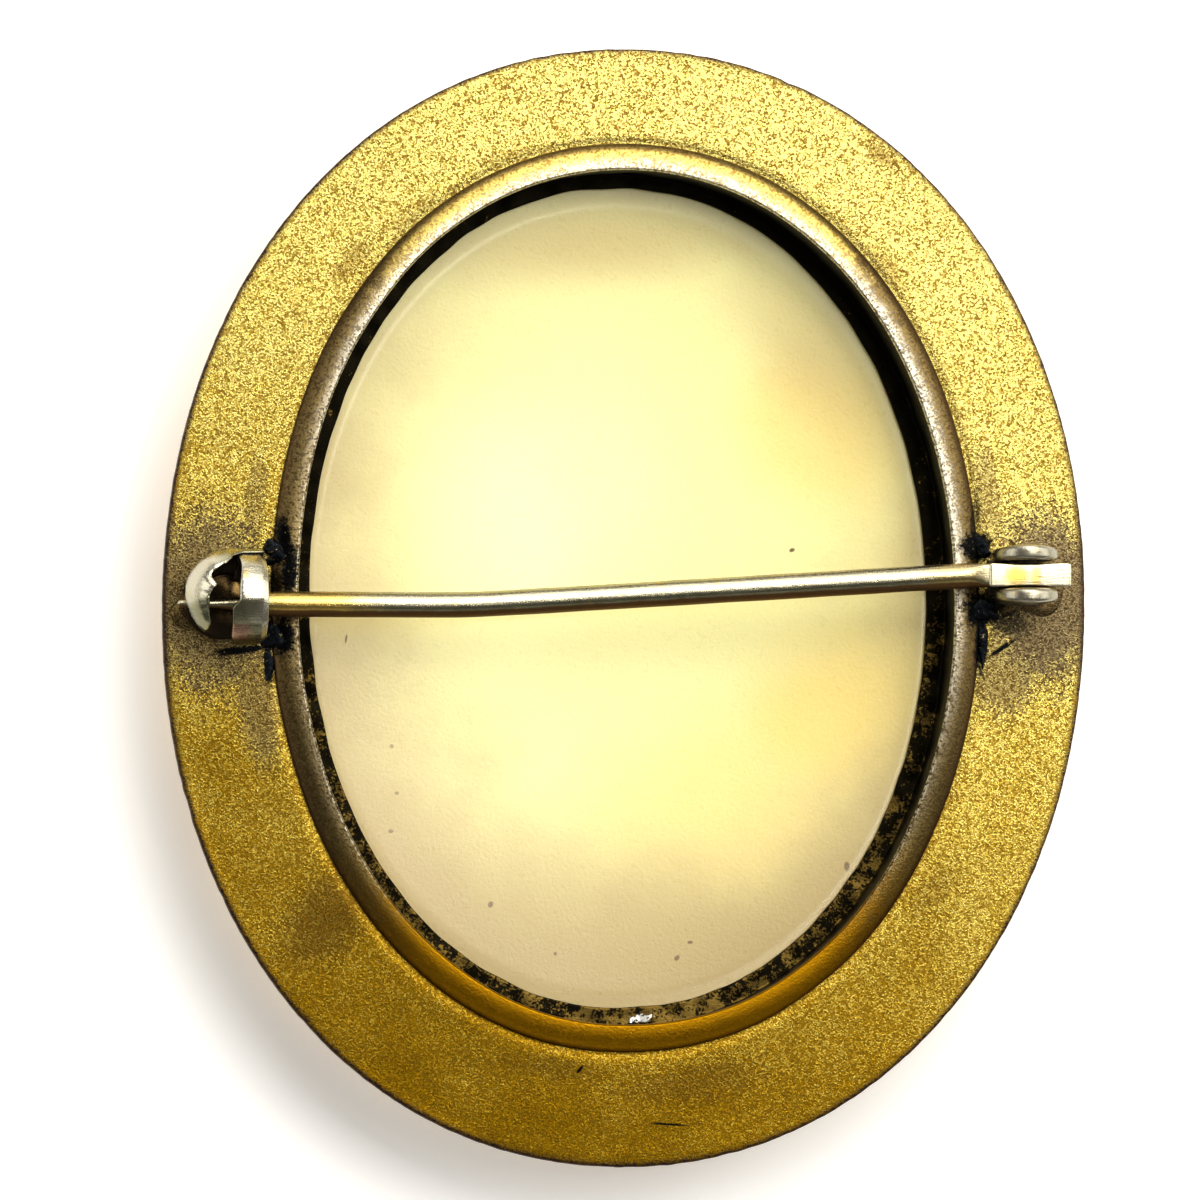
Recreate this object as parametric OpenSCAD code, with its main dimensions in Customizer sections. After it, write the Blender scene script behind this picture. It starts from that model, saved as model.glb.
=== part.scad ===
// Oval cameo brooch, lying face down with its pin and catch upwards.
// Millimetres, +Z up. The origin is on the resting plane, under the middle of the frame.
// X runs across the brooch towards the hinge, Y along its height.

/* [Frame] */
// Width of the frame, side to side
frame_w = 41.6; // [36:0.1:48]
// Height of the frame, top to bottom
frame_h = 50; // [44:0.1:58]
// Height of the back flange, at its inner crease, above the resting plane
flange_z = 6; // [5.5:0.1:8]
// How far the flange slopes down from the crease to its outer edge
flange_drop = 0.35; // [0.1:0.05:0.6]
// Thickness of the flange at its outer edge
flange_edge = 0.45; // [0.3:0.05:0.8]
// How far the flange stands out past the front border
flange_lip = 0.6; // [0.3:0.1:1]
// Radius of the half-round border on the front
border_r = 1.9; // [1.5:0.05:2.2]
// How much of the half round is cut away flat, where the brooch rests
border_flat = 0.05; // [0.02:0.01:0.15]

/* [Collar and well] */
// Width of the crease between flange and collar
collar_w = 31.64; // [28:0.02:33]
// Height of the crease between flange and collar
collar_h = 40.86; // [37:0.02:42]
// Thickness of the rounded collar at its sides
collar_t = 1.04; // [0.8:0.02:1.4]
// Height of the collar's rounded top above the flange
collar_rise = 0.44; // [0.2:0.02:0.6]
// Height of the ledge inside the well above the resting plane
ledge_z = 3.6; // [3:0.1:4.5]
// Thickness of the ledge
ledge_t = 0.3; // [0.2:0.05:0.6]
// Width of the ledge, inwards from the well's wall
ledge_w = 0.93; // [0.6:0.01:1.4]
// Thickness of the front lip that holds the shell
lip_t = 0.45; // [0.3:0.05:0.6]

/* [Cameo] */
// Thickness of the shell at its rim
shell_rim = 1.65; // [1.2:0.05:2]
// Rise of the domed front above its rim
shell_dome = 0.8; // [0.4:0.05:0.9]
// Depth of the hollow back below its rim
shell_hollow = 0.7; // [0.2:0.05:1]
// Height of the carved flowers above the dome
relief_h = 0.6; // [0.1:0.02:0.6]
// Clearance between the shell and its setting
shell_gap = 0.05; // [0.03:0.01:0.1]

/* [Catch] */
// Outside radius of the catch
catch_r = 2.05; // [1.8:0.05:2.4]
// Thickness of the catch's wall
catch_t = 0.42; // [0.3:0.02:0.6]
// Where the catch's round end is centred, left of the middle
catch_x = 18.05; // [17.6:0.05:18.4]
// Where the catch's axis lies, above the middle
catch_y = 0.26; // [0:0.02:0.5]
// Length of the catch's straight barrel
catch_barrel = 1.55; // [1.2:0.05:2]
// Thickness of the catch's foot
catch_foot = 0.35; // [0.25:0.05:0.5]
// Height of the mouth that lets the pin out sideways
mouth_h = 1.42; // [1.3:0.02:1.6]

/* [Hinge] */
// Where the rivet is, right of the middle
rivet_x = 17.8; // [17.4:0.05:18.2]
// Where the middle of the hinge is, above the middle of the brooch
rivet_y = 1.3; // [0.8:0.05:1.8]
// Height of the rivet above the solder pad
rivet_up = 1.8; // [1.7:0.05:2]
// Radius of the rivet
rivet_r = 0.45; // [0.35:0.01:0.5]
// Radius of the two round ears
ear_r = 1.5; // [1.3:0.05:1.7]
// Thickness of each ear
ear_t = 0.68; // [0.5:0.02:0.8]
// Width of the slot between the ears
ear_slot = 1.36; // [1.34:0.01:1.5]

/* [Pin] */
// Diameter of the pin's wire
wire_d = 1.08; // [0.9:0.02:1.1]
// Thickness of the flat tab between the ears
tab_t = 1.02; // [0.9:0.02:1.02]
// Height of the tab
tab_h = 1.24; // [1:0.02:1.3]
// Length of the tab past the rivet
tab_tail = 1.95; // [1.7:0.05:2]
// Where the pin's point is, left of the middle
tip_x = 20.3; // [19.5:0.05:20.5]
// Where the wire's soft bend is, left of the middle
bend_x = 7.3; // [5:0.1:10]
// How far the wire's soft bend lies below the middle
bend_y = 0.13; // [0:0.01:0.3]

/* [Hidden] */
$fn = 160;
tiny = 0.01;
// Side radii of the frame and of its ovals, with how much taller than wide each oval is
frame_r = frame_w / 2;
frame_tall = frame_h / frame_w;
crease_r = collar_w / 2;
collar_tall = collar_h / collar_w;
well_r = crease_r - collar_t;
ledge_r = well_r - ledge_w;
pocket_r = well_r - 0.18;
lip_r = ledge_r + 0.05;
lip_outer_r = pocket_r + 0.5;
core_r = pocket_r + 0.3;
collar_root = border_r + 0.3;
// Slope of the flange, and its height at any side radius
flange_slope = flange_drop / (frame_r - crease_r);
function flange_at(r) = flange_z - (r - crease_r) * flange_slope;
// The half-round border
border_x = frame_r - flange_lip - border_r - 0.1;
border_back = flange_at(frame_r) - flange_edge - 0.15;
neck_wall_r = border_x + border_r * 0.65;
// The shell, in its pocket between the ledge and the front lip
shell_r = pocket_r - 0.08;
shell_back = ledge_z - ledge_t - shell_gap;
shell_front = shell_back - shell_rim;
shell_margin = 0.94;
// The solder pads that the catch and the hinge stand on
pad_z = flange_z + 0.03;
pad_root = flange_at(frame_r) - flange_edge + 0.1;
catch_pad_r = catch_r - 0.1;
hinge_pad_r = 2.05;
// The catch
catch_axis_z = pad_z + catch_r - 0.08;
catch_in = catch_r - catch_t;
mouth_z = pad_z + catch_foot;
window_r = 1.85;
window_z = mouth_z + 0.3;
// The hinge
rivet_z = pad_z + rivet_up;
ear_hole = rivet_r + 0.03;
sink_r = rivet_r + 0.2;
sink_t = 0.2;
hinge_half = ear_slot / 2 + ear_t;
// The pin's wire, from its tab over the soft bend to its point
pin_z = mouth_z + mouth_h / 2;
pin_slope = (rivet_z - pin_z) / (rivet_x + catch_x - catch_barrel);
function pin_at(x) = rivet_z - (rivet_x - x) * pin_slope;
tab_front = 1.75;
taper_x = 15.8;
neck_x = 18.1;
neck_r = 0.23;
tip_r = 0.15;
tab_hole = rivet_r + 0.06;
// The wire's joints: x, y and radius, from the tab to the point
wire_joints = [
    [rivet_x - tab_front, rivet_y - 0.02, wire_d / 2],
    [-bend_x, -bend_y, wire_d / 2],
    [-taper_x, 0, wire_d / 2],
    [-neck_x, 0, neck_r],
    [-tip_x + tip_r, 0, tip_r]
];
joint_swell = 0.01;
function joint_at(i) = let (j = wire_joints[i]) [j[0], j[1], pin_at(j[0])];

// Turns a profile into an oval ring: its radii hold at the sides, and grow by tall at the ends
module oval(tall) {
    scale([1, tall, 1]) rotate_extrude() children();
}

// An upright oval plug, for cutting
module oval_plug(r, tall, z0, z1) {
    oval(tall) translate([0, z0]) square([r, z1 - z0]);
}

// The wide flange with its thin edge, and the half-round border under it
module border_profile() {
    polygon([
        [pocket_r, flange_at(pocket_r)],
        [frame_r, flange_at(frame_r)],
        [frame_r, flange_at(frame_r) - flange_edge],
        [frame_r - flange_lip, border_back],
        [neck_wall_r, border_back - 0.15],
        [neck_wall_r, border_r],
        [pocket_r, border_r]
    ]);
    translate([border_x, border_r - border_flat]) circle(border_r);
}

// What lies below the resting plane, for cutting
module below_rest() {
    translate([-frame_w, -frame_h, -border_r]) cube([2 * frame_w, 2 * frame_h, border_r]);
}

// The rounded collar, the well's wall, the ledge and the lip that holds the shell
module collar_profile() {
    bead_r = collar_t / 2;
    bead_z = flange_z + collar_rise - bead_r;
    front = shell_front - shell_gap;
    translate([crease_r - bead_r, bead_z]) circle(bead_r);
    translate([well_r, ledge_z - tiny]) square([collar_t, bead_z - ledge_z + tiny]);
    translate([pocket_r, collar_root]) square([crease_r - pocket_r, ledge_z - collar_root]);
    translate([ledge_r, ledge_z - ledge_t]) square([pocket_r - ledge_r + tiny, ledge_t]);
    polygon([
        [lip_r, front],
        [lip_r, front - lip_t * 0.4],
        [pocket_r, front - lip_t],
        [lip_outer_r, front - lip_t],
        [lip_outer_r, collar_root + tiny],
        [pocket_r, collar_root + tiny],
        [pocket_r, front]
    ]);
}

// A round pad of solder on the flange
module solder_pad(x, y, r) {
    translate([x, y, pad_root]) cylinder(r = r, h = pad_z - pad_root);
}

// The frame: flange, border, collar and well are soldered into one piece
module frame() {
    color("darkgoldenrod") {
        difference() {
            union() {
                oval(frame_tall) border_profile();
                solder_pad(-catch_x - 0.2, catch_y, catch_pad_r);
                solder_pad(rivet_x, rivet_y, hinge_pad_r);
            }
            oval_plug(core_r, collar_tall, -1, flange_z + 1);
            below_rest();
        }
        oval(collar_tall) collar_profile();
    }
}

// Eases from 0 to 1
function ease(t) = let (c = min(max(t, 0), 1)) c * c * (3 - 2 * c);

// One ring of a rose's petals around the origin: r wide, with n scalloped edges, each with a raised rim
function petals(p, r, n, turn) = let (
    edge = r * (0.84 + 0.16 * abs(cos(n / 2 * atan2(p.y, p.x) + turn))),
    inside = (edge - norm(p)) / r
) ease(inside / 0.16) * (1 - 0.4 * ease(inside / 0.45));

// A pointed leaf of half length l and half width w, centred at c and turned by a, with a sunk midrib
function leaf(p, c, a, l, w) = let (
    d = p - c,
    along = (d.x * cos(a) + d.y * sin(a)) / l,
    across = abs(d.y * cos(a) - d.x * sin(a)) / w,
    inside = 1 - along * along - across
) ease(inside * 1.8) * (0.65 + 0.35 * ease(across * 5));

// The carved spray: a rose in the middle, two buds, leaves and a stem, as a share of the relief's height
rose_r = 6.6;
buds = [[-6.2, -9.2], [5.6, -10.4]];
bud_r = 2.4;
// Each leaf: middle x, middle y, turn, half length, half width
leaves = [
    [-7, 8.2, 128, 4, 1.7],
    [7, 8.2, 52, 4, 1.7],
    [0, 11.2, 90, 4, 1.7],
    [-9.6, 1.6, 172, 2.6, 1.5],
    [9.6, 1, 6, 2.6, 1.5],
    [-8.2, -4.6, 215, 2.6, 1.4],
    [8.4, -5.2, -38, 2.6, 1.4]
];
function stem(p) = let (
    off = abs(p.x - 0.9 * sin(p.y * 14)) / 0.6
) p.y < -3 && p.y > -15.4 ? ease(1.4 - off) * 0.55 : 0;
function rose(p) = 0.42 * petals(p, rose_r, 5, 0) + 0.3 * petals(p, rose_r * 0.66, 5, 40)
    + 0.18 * petals(p, rose_r * 0.4, 3, 10) + 0.1 * petals(p, rose_r * 0.2, 3, 70);
function spray(p) = max([
    rose(p),
    for (b = buds) 0.7 * petals(p - b, bud_r, 3, b.x * 10) + 0.2 * petals(p - b, bud_r * 0.5, 3, 30),
    for (v = leaves) 0.6 * leaf(p, [v[0], v[1]], v[2], v[3], v[4]),
    stem(p)
]);

// Heights of the shell's two faces at share u of the oval's radius, p being the place itself
function hump(u) = 1 - pow(min(u / shell_margin, 1), 2);
function face_front(u, p) = shell_front - shell_dome * hump(u) - relief_h * spray(p) * ease(hump(u) * 6);
function face_back(u) = shell_back - shell_hollow * hump(u);

// The shell: a carved front and a hollow back, as rings of points from the middle out to the rim
module cameo() {
    turns = 84;
    front_rings = 21;
    back_shares = [0.25, 0.5, 0.72, 0.88, shell_margin, 1];
    front_shares = [for (j = [1:front_rings]) pow(j / front_rings, 0.9)];
    function place(u, i) = let (a = 360 * i / turns) [u * shell_r * cos(a), u * shell_r * collar_tall * sin(a)];
    function front_point(u, i) = let (p = place(u, i)) [p.x, p.y, face_front(u, p)];
    function back_point(u, i) = let (p = place(u, i)) [p.x, p.y, face_back(u)];
    outward = len(back_shares);
    // Rings run from the middle of the back, over the rim, to the middle of the front
    rings = [
        for (u = back_shares) [for (i = [0:turns - 1]) back_point(u, i)],
        for (j = [front_rings - 1:-1:0]) [for (i = [0:turns - 1]) front_point(front_shares[j], i)]
    ];
    count = len(rings);
    points = [
        [0, 0, face_back(0)],
        [0, 0, face_front(0, [0, 0])],
        for (ring = rings) each ring
    ];
    function at(ring, i) = 2 + ring * turns + i % turns;
    faces = [
        for (i = [0:turns - 1]) [0, at(0, i + 1), at(0, i)],
        for (i = [0:turns - 1]) [1, at(count - 1, i), at(count - 1, i + 1)],
        for (k = [0:count - 2], i = [0:turns - 1]) each [
            [at(k, i), at(k, i + 1), at(k + 1, i)],
            [at(k, i + 1), at(k + 1, i + 1), at(k + 1, i)]
        ]
    ];
    color("cornsilk") polyhedron(points, faces);
}

// Half the section of a round-ended barrel, its round end centred at the origin
module barrel_profile(r, length) {
    intersection() {
        circle(r);
        translate([0, -r]) square([r, r + tiny]);
    }
    square([r, length]);
}

// The catch's hollow barrel, lying along X with its round end to the left and its right edge bevelled
module catch_barrel_shell() {
    rotate([0, 90, 0]) rotate_extrude() difference() {
        intersection() {
            barrel_profile(catch_r, catch_barrel);
            polygon([
                [0, -catch_r],
                [catch_r + 1, -catch_r],
                [catch_r + 1, catch_barrel - 1.2],
                [catch_r - 0.2, catch_barrel],
                [0, catch_barrel]
            ]);
        }
        barrel_profile(catch_in, catch_barrel + 1);
    }
}

// The catch: a hollow round-ended barrel on a foot, open at the hinge side, with a window on top
// and a mouth on its lower side that lets the pin out
module catch() {
    reach = 4;
    band_upper = 0.3;
    band_lower = -0.15;
    color("lightgoldenrodyellow") translate([-catch_x, catch_y, 0]) {
        difference() {
            translate([0, 0, catch_axis_z]) catch_barrel_shell();
            // window between the round end and the band, which is wider on its lower side
            intersection() {
                translate([0.8, -0.3, window_z]) cylinder(r = window_r, h = reach);
                union() {
                    translate([-reach, 0, mouth_z]) cube([reach + band_upper, reach, reach]);
                    translate([-reach, -reach, mouth_z]) cube([reach + band_lower, reach + 1, reach]);
                }
            }
            // mouth along the lower side, through the round end as well
            translate([-reach, -reach, mouth_z])
                cube([2 * reach, reach + wire_d / 2 - catch_y, mouth_h]);
            // what would reach below the foot
            translate([-reach, -reach, pad_z - 1]) cube([2 * reach, 2 * reach, 1]);
        }
        translate([-0.2, 0, pad_z]) cylinder(r = catch_pad_r - 0.05, h = catch_foot - 0.03);
    }
}

// Cuts or fills along Y through the hinge's axis
module hinge_rod(r, y0, y1, r_end) {
    translate([rivet_x, rivet_y + y1, rivet_z]) rotate([90, 0, 0]) cylinder(r1 = r_end, r2 = r, h = y1 - y0);
}

// One ear: a disc on a foot, drilled and countersunk for the rivet
module ear(side) {
    inner = ear_slot / 2;
    y0 = side > 0 ? inner : -hinge_half;
    foot_w = 2.4;
    difference() {
        union() {
            hinge_rod(ear_r, y0, y0 + ear_t, ear_r);
            translate([rivet_x - foot_w / 2, rivet_y + y0, pad_z]) cube([foot_w, ear_t, rivet_up]);
        }
        hinge_rod(ear_hole, y0 - 1, y0 + ear_t + 1, ear_hole);
        if (side > 0) hinge_rod(ear_hole, hinge_half - sink_t, hinge_half, ear_hole + sink_t);
        else hinge_rod(ear_hole + sink_t, -hinge_half, -hinge_half + sink_t, ear_hole);
    }
}

// The hinge's bracket: two ears joined by a strip under the pin's side, so that the tab's heel can turn down
module hinge_bracket() {
    color("lightgoldenrodyellow") {
        ear(1);
        ear(-1);
        translate([rivet_x - ear_r, rivet_y - hinge_half, pad_z]) cube([1, 2 * hinge_half, 0.35]);
    }
}

// The rivet, spread flush into both ears
module hinge_rivet() {
    color("khaki") {
        hinge_rod(rivet_r, -hinge_half, hinge_half, rivet_r);
        hinge_rod(rivet_r, hinge_half - sink_t, hinge_half, sink_r);
        hinge_rod(sink_r, -hinge_half, -hinge_half + sink_t, rivet_r);
    }
}

// A round rod from a to b, with radius ra at a and rb at b
module rod(a, b, ra, rb) {
    d = b - a;
    translate(a) rotate([0, acos(d.z / norm(d)), atan2(d.y, d.x)]) cylinder(r1 = ra, r2 = rb, h = norm(d));
}

// The pin: a flat tab with a rounded heel, and the wire with its soft bend and its point
module pin() {
    heel_x = 0.3;
    color("palegoldenrod") {
        difference() {
            translate([rivet_x, rivet_y + tab_t / 2, rivet_z]) rotate([90, 0, 0]) linear_extrude(tab_t)
                intersection() {
                    translate([-tab_front, -tab_h / 2]) square([tab_front + tab_tail, tab_h]);
                    union() {
                        translate([heel_x, tab_h / 2]) circle(tab_tail - heel_x);
                        translate([-tab_front, -tab_h / 2]) square([tab_front + heel_x, tab_h]);
                    }
                }
            hinge_rod(tab_hole, -tab_t, tab_t, tab_hole);
        }
        for (i = [0:len(wire_joints) - 2])
            rod(joint_at(i), joint_at(i + 1), wire_joints[i][2], wire_joints[i + 1][2]);
        for (i = [0:len(wire_joints) - 1])
            translate(joint_at(i)) sphere(wire_joints[i][2] + joint_swell);
    }
}

frame();
cameo();
catch();
hinge_bracket();
hinge_rivet();
pin();
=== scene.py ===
"""Looks of an oval cameo brooch that lies face down, with its pin and catch upwards.

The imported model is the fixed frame. Sizes here are in millimetres, in its axes: X runs across the
brooch towards the hinge, Y along its height, and Z up from the resting plane. A mesh is turned into
metres when it is made.
"""

import logging
from collections.abc import Mapping, Sequence
from dataclasses import dataclass, field
from enum import Enum
from typing import Any

import bpy
import numpy as np
import numpy.typing as npt
from mathutils import Matrix, Vector

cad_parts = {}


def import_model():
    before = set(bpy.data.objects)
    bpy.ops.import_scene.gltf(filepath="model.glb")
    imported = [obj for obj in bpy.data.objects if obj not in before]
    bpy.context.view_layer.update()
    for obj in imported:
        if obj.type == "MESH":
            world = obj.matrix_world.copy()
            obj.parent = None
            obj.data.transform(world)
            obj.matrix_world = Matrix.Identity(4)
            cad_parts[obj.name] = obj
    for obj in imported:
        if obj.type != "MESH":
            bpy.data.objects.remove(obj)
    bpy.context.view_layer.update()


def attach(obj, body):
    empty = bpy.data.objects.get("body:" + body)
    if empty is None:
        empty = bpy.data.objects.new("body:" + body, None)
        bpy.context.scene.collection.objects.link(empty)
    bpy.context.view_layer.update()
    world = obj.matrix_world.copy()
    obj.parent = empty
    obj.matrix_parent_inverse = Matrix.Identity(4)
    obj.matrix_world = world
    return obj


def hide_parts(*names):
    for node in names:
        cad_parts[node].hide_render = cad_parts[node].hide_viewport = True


Array = npt.NDArray[np.float64]
Colour = tuple[float, float, float]
Pair = tuple[float, float]

MM = 0.001
LOG = logging.getLogger("brooch")


class Body(Enum):
    """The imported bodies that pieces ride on."""

    BROOCH = "brooch"
    RIVET = "rivet"
    PIN = "pin"


class Slot(Enum):
    """The record's material slots."""

    GILT = "gilt_metal"
    SHELL = "shell"
    CATCH = "catch_metal"
    HINGE = "hinge_metal"
    WIRE = "pin_wire"


class Cap(Enum):
    """How a tube's two end rings are closed."""

    FAN = "a point in the middle of the ring"
    LADDER = "rungs between the ring's two halves, for a thin curved section"


@dataclass(frozen=True)
class Seat:
    """Where a piece belongs.

    Args:
        body: The body it rides on.
        slot: The material slot it belongs to; not used.
        node: The CAD node it stands for.
    """

    body: Body
    slot: Slot
    node: str


FRAME = Seat(Body.BROOCH, Slot.GILT, "frame")
CAMEO = Seat(Body.BROOCH, Slot.SHELL, "cameo")
CATCH = Seat(Body.BROOCH, Slot.CATCH, "catch")
BRACKET = Seat(Body.BROOCH, Slot.HINGE, "hinge_bracket")
RIVET = Seat(Body.RIVET, Slot.HINGE, "hinge_rivet")
PIN = Seat(Body.PIN, Slot.WIRE, "pin")


# ---------------------------------------------------------------- surfaces


@dataclass
class Shape:
    """A closed surface.

    Args:
        points: One row of X, Y and Z for each point, in millimetres.
        quads: Four point numbers for each face.
        marks: Values kept at the points, by name, for the finishes to read.
    """

    points: Array
    quads: npt.NDArray[np.int64]
    marks: dict[str, Array]

    def outward(self) -> "Shape":
        """Turns the faces outwards.

        The volume is the sum over each quad abcd of a.(b x c) + a.(c x d), over 6. Where it is
        negative, the faces point inwards and their point order is reversed.

        Returns:
            The same surface with its faces outwards.
        """
        a, b, c, d = (self.points[self.quads[:, k]] for k in range(4))
        volume = (a * (np.cross(b, c) + np.cross(c, d))).sum()
        quads = self.quads if volume > 0 else self.quads[:, ::-1]
        return Shape(self.points, quads, self.marks)


def xyz(x: Array | float, y: Array | float, z: Array | float) -> Array:
    """Points from their coordinates, each spread to the rows and columns of the others."""
    return np.stack(np.broadcast_arrays(x, y, z), -1)


def grid_quads(rings: int, around: int, wrap: bool) -> npt.NDArray[np.int64]:
    """Joins neighbouring points of a grid that is closed around each ring.

    Args:
        rings: Number of rings.
        around: Number of points in each ring.
        wrap: Whether the last ring joins the first.

    Returns:
        The quads, four point numbers each.
    """
    ring = np.arange(rings if wrap else rings - 1)[:, None]
    step = np.arange(around)[None, :]
    here, after, beside = ring * around, (ring + 1) % rings * around, (step + 1) % around
    corners = np.broadcast_arrays(here + step, after + step, after + beside, here + beside)
    return np.stack(corners, -1).reshape(-1, 4)


def at_points(marks: Mapping[str, Array], rings: Array) -> dict[str, Array]:
    """Spreads marks over all the points of the rings, in one row each."""
    return {key: np.broadcast_to(values, rings.shape[:2]).reshape(-1) for key, values in marks.items()}


def hoop(rings: Array, **marks: Array) -> Shape:
    """A closed ring: every ring of points joins the next, and the last joins the first.

    Args:
        rings: Points as an array of rings by points by 3.
        marks: Values at the points, by name.

    Returns:
        The closed surface.
    """
    quads = grid_quads(rings.shape[0], rings.shape[1], True)
    return Shape(rings.reshape(-1, 3), quads, at_points(marks, rings))


def sheath(rings: Array, cap: Cap, **marks: Array) -> Shape:
    """A closed tube: rings of points joined in a row, and an even number of points in each.

    Args:
        rings: Points as an array of rings by points by 3.
        cap: How the two ends are closed.
        marks: Values at the points, by name.

    Returns:
        The closed surface.
    """
    count, around = rings.shape[:2]
    points, flat = rings.reshape(-1, 3), at_points(marks, rings)
    ends = (0, (count - 1) * around)
    if cap is Cap.FAN:
        near = np.arange(0, around, 2)
        points = np.vstack([points, rings[0].mean(0), rings[-1].mean(0)])
        flat = {key: np.append(v, [v[:around].mean(), v[-around:].mean()]) for key, v in flat.items()}
        fans = []
        for pole, at in enumerate(ends):
            middle = np.full_like(near, count * around + pole)
            fans.append(np.stack([middle, at + near, at + near + 1, at + (near + 2) % around], -1))
    else:
        near = np.arange(around // 2 - 1)
        rungs = np.stack([near, near + 1, around - 2 - near, around - 1 - near], -1)
        fans = [at + rungs for at in ends]
    body = grid_quads(count, around, False)
    return Shape(points, np.vstack([body, fans[0], fans[1][:, ::-1]]), flat)


def ripple(places: Array, size: float, seed: int, waves: int = 20) -> Array:
    """A smooth irregular height at each place, mostly from -1 to 1.

    It is the sum of cosines of plane waves in fixed random directions, each with its own phase and a
    wavelength near size, scaled by the root of 2 over their number and divided by 1.4.

    Args:
        places: Points, with X, Y and Z last.
        size: Wavelength in millimetres.
        seed: Starts the fixed random draw.
        waves: How many waves are added up.

    Returns:
        One height for each place.
    """
    draw = np.random.default_rng(seed)
    ways = draw.normal(size=(waves, 3))
    ways /= np.linalg.norm(ways, axis=1, keepdims=True) * size * draw.uniform(0.7, 1.6, (waves, 1))
    phases = draw.uniform(0, 2 * np.pi, waves)
    return np.cos(2 * np.pi * places @ ways.T + phases).sum(-1) * np.sqrt(2 / waves) / 1.4


def ease(t: Array) -> Array:
    """Eases from 0 to 1: t * t * (3 - 2t), with t held between 0 and 1."""
    c = np.clip(t, 0, 1)
    return c * c * (3 - 2 * c)


def squared(t: Array, power: Array | float) -> Array:
    """The size of t raised to a power, with t's own sign."""
    return np.sign(t) * np.abs(t) ** power


def angles(count: int) -> Array:
    """Evenly spaced angles round a full turn, in radians."""
    return np.linspace(0, 2 * np.pi, count, endpoint=False)


def arc(centre: Pair, radius: float, start: float, end: float, count: int) -> Array:
    """Points along an arc: centre + radius * (cos a, sin a), a going from start to end.

    Args:
        centre: The arc's middle.
        radius: Its radius.
        start: Its first angle, in degrees.
        end: Its last angle, in degrees.
        count: Number of points.

    Returns:
        An array of points by 2.
    """
    a = np.radians(np.linspace(start, end, count))
    return np.stack([centre[0] + radius * np.cos(a), centre[1] + radius * np.sin(a)], -1)


def rounded_section(half: Pair, corner: float, steps: int = 5) -> Array:
    """A rounded rectangle about the origin, whose first and second halves mirror each other.

    Each corner is an arc of the given radius; the points start at the middle of the right side and
    go round against the clock, in an even number.

    Args:
        half: Half its width and half its height.
        corner: Radius of its corners.
        steps: Points in each corner.

    Returns:
        An array of points by 2.
    """
    w, h = half[0] - corner, half[1] - corner
    upper = np.vstack([arc((w, h), corner, 0, 90, steps), arc((-w, h), corner, 90, 180, steps)])
    return np.vstack([upper, -upper])


@dataclass(frozen=True)
class Ovals:
    """The two families of ovals that the brooch is drawn from.

    An oval has side radius r and end radius r * tall. It is slightly squarer than an ellipse: along
    it |x / r| and |y / (r * tall)|, both to the power given by square, add up to 1. The collar's
    family lies a little above the middle, as it was soldered on, and the frame's is turned a little.
    """

    frame_r: float = 20.8
    frame_tall: float = 50 / 41.6
    crease_r: float = 16.0
    collar_tall: float = 40.86 / 31.64
    square: float = 2.07
    collar_up: float = 0.42
    turn: float = -0.03
    crease_share: float = 0.232
    flange_z: float = 6.0
    flange_drop: float = 0.35

    def flange_at(self, x: Array, y: Array) -> Array:
        """Height of the flange: it falls evenly with the frame's radius, from crease to edge."""
        slope = self.flange_drop / (self.frame_r - self.crease_r)
        return self.flange_z - (np.hypot(x, y / self.frame_tall) - self.crease_r) * slope

    def rings(self, radii: Array, share: Array, turns: int) -> tuple[Array, Array]:
        """X and Y of oval rings.

        With c and s the cosine and sine of evenly spaced angles, their size raised to the power
        2 / square, x = r * c and y = r * tall * s. The share sets tall between the two families'.
        Each ring is moved up by collar_up * 1.3 * (1 - share), at most collar_up, and then turned
        by turn * share.

        Args:
            radii: Side radius of each ring.
            share: 0 for the collar's family, 1 for the frame's, and between them for a blend.
            turns: Points around each ring.

        Returns:
            X and Y, each rings by turns.
        """
        a = angles(turns)
        c, s = (squared(part, 2 / self.square) for part in (np.cos(a), np.sin(a)))
        tall = self.collar_tall + (self.frame_tall - self.collar_tall) * share
        up = self.collar_up * np.clip((1 - share) * 1.3, 0, 1)
        x, y = radii[:, None] * c, (radii * tall)[:, None] * s + up[:, None]
        lean = (self.turn * share)[:, None]
        return x * np.cos(lean) - y * np.sin(lean), x * np.sin(lean) + y * np.cos(lean)


OVALS = Ovals()


def make_piece(name: str, shape: Shape, finish: bpy.types.Material, seat: Seat) -> None:
    """Makes a piece from a surface, smooth shaded, at the origin, in place of its CAD node.

    Args:
        name: The piece's name.
        shape: Its closed surface.
        finish: Its finish.
        seat: Its body and the node it stands for.
    """
    solid = shape.outward()
    mesh = bpy.data.meshes.new(name)
    mesh.from_pydata(solid.points * MM, [], solid.quads)
    for key, values in solid.marks.items():
        mesh.attributes.new(key, "FLOAT", "POINT").data.foreach_set("value", values.astype(np.float32))
    mesh.polygons.foreach_set("use_smooth", np.ones(len(mesh.polygons), bool))
    mesh.materials.append(finish)
    mesh.update()
    piece = bpy.data.objects.new(name, mesh)
    bpy.context.scene.collection.objects.link(piece)
    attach(piece, seat.body.value)
    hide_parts(seat.node)
    counts = len(solid.points), len(solid.quads)
    LOG.info("%s: %d points, %d quads, on %s", name, *counts, seat.body.value)


# ---------------------------------------------------------------- finishes


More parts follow.
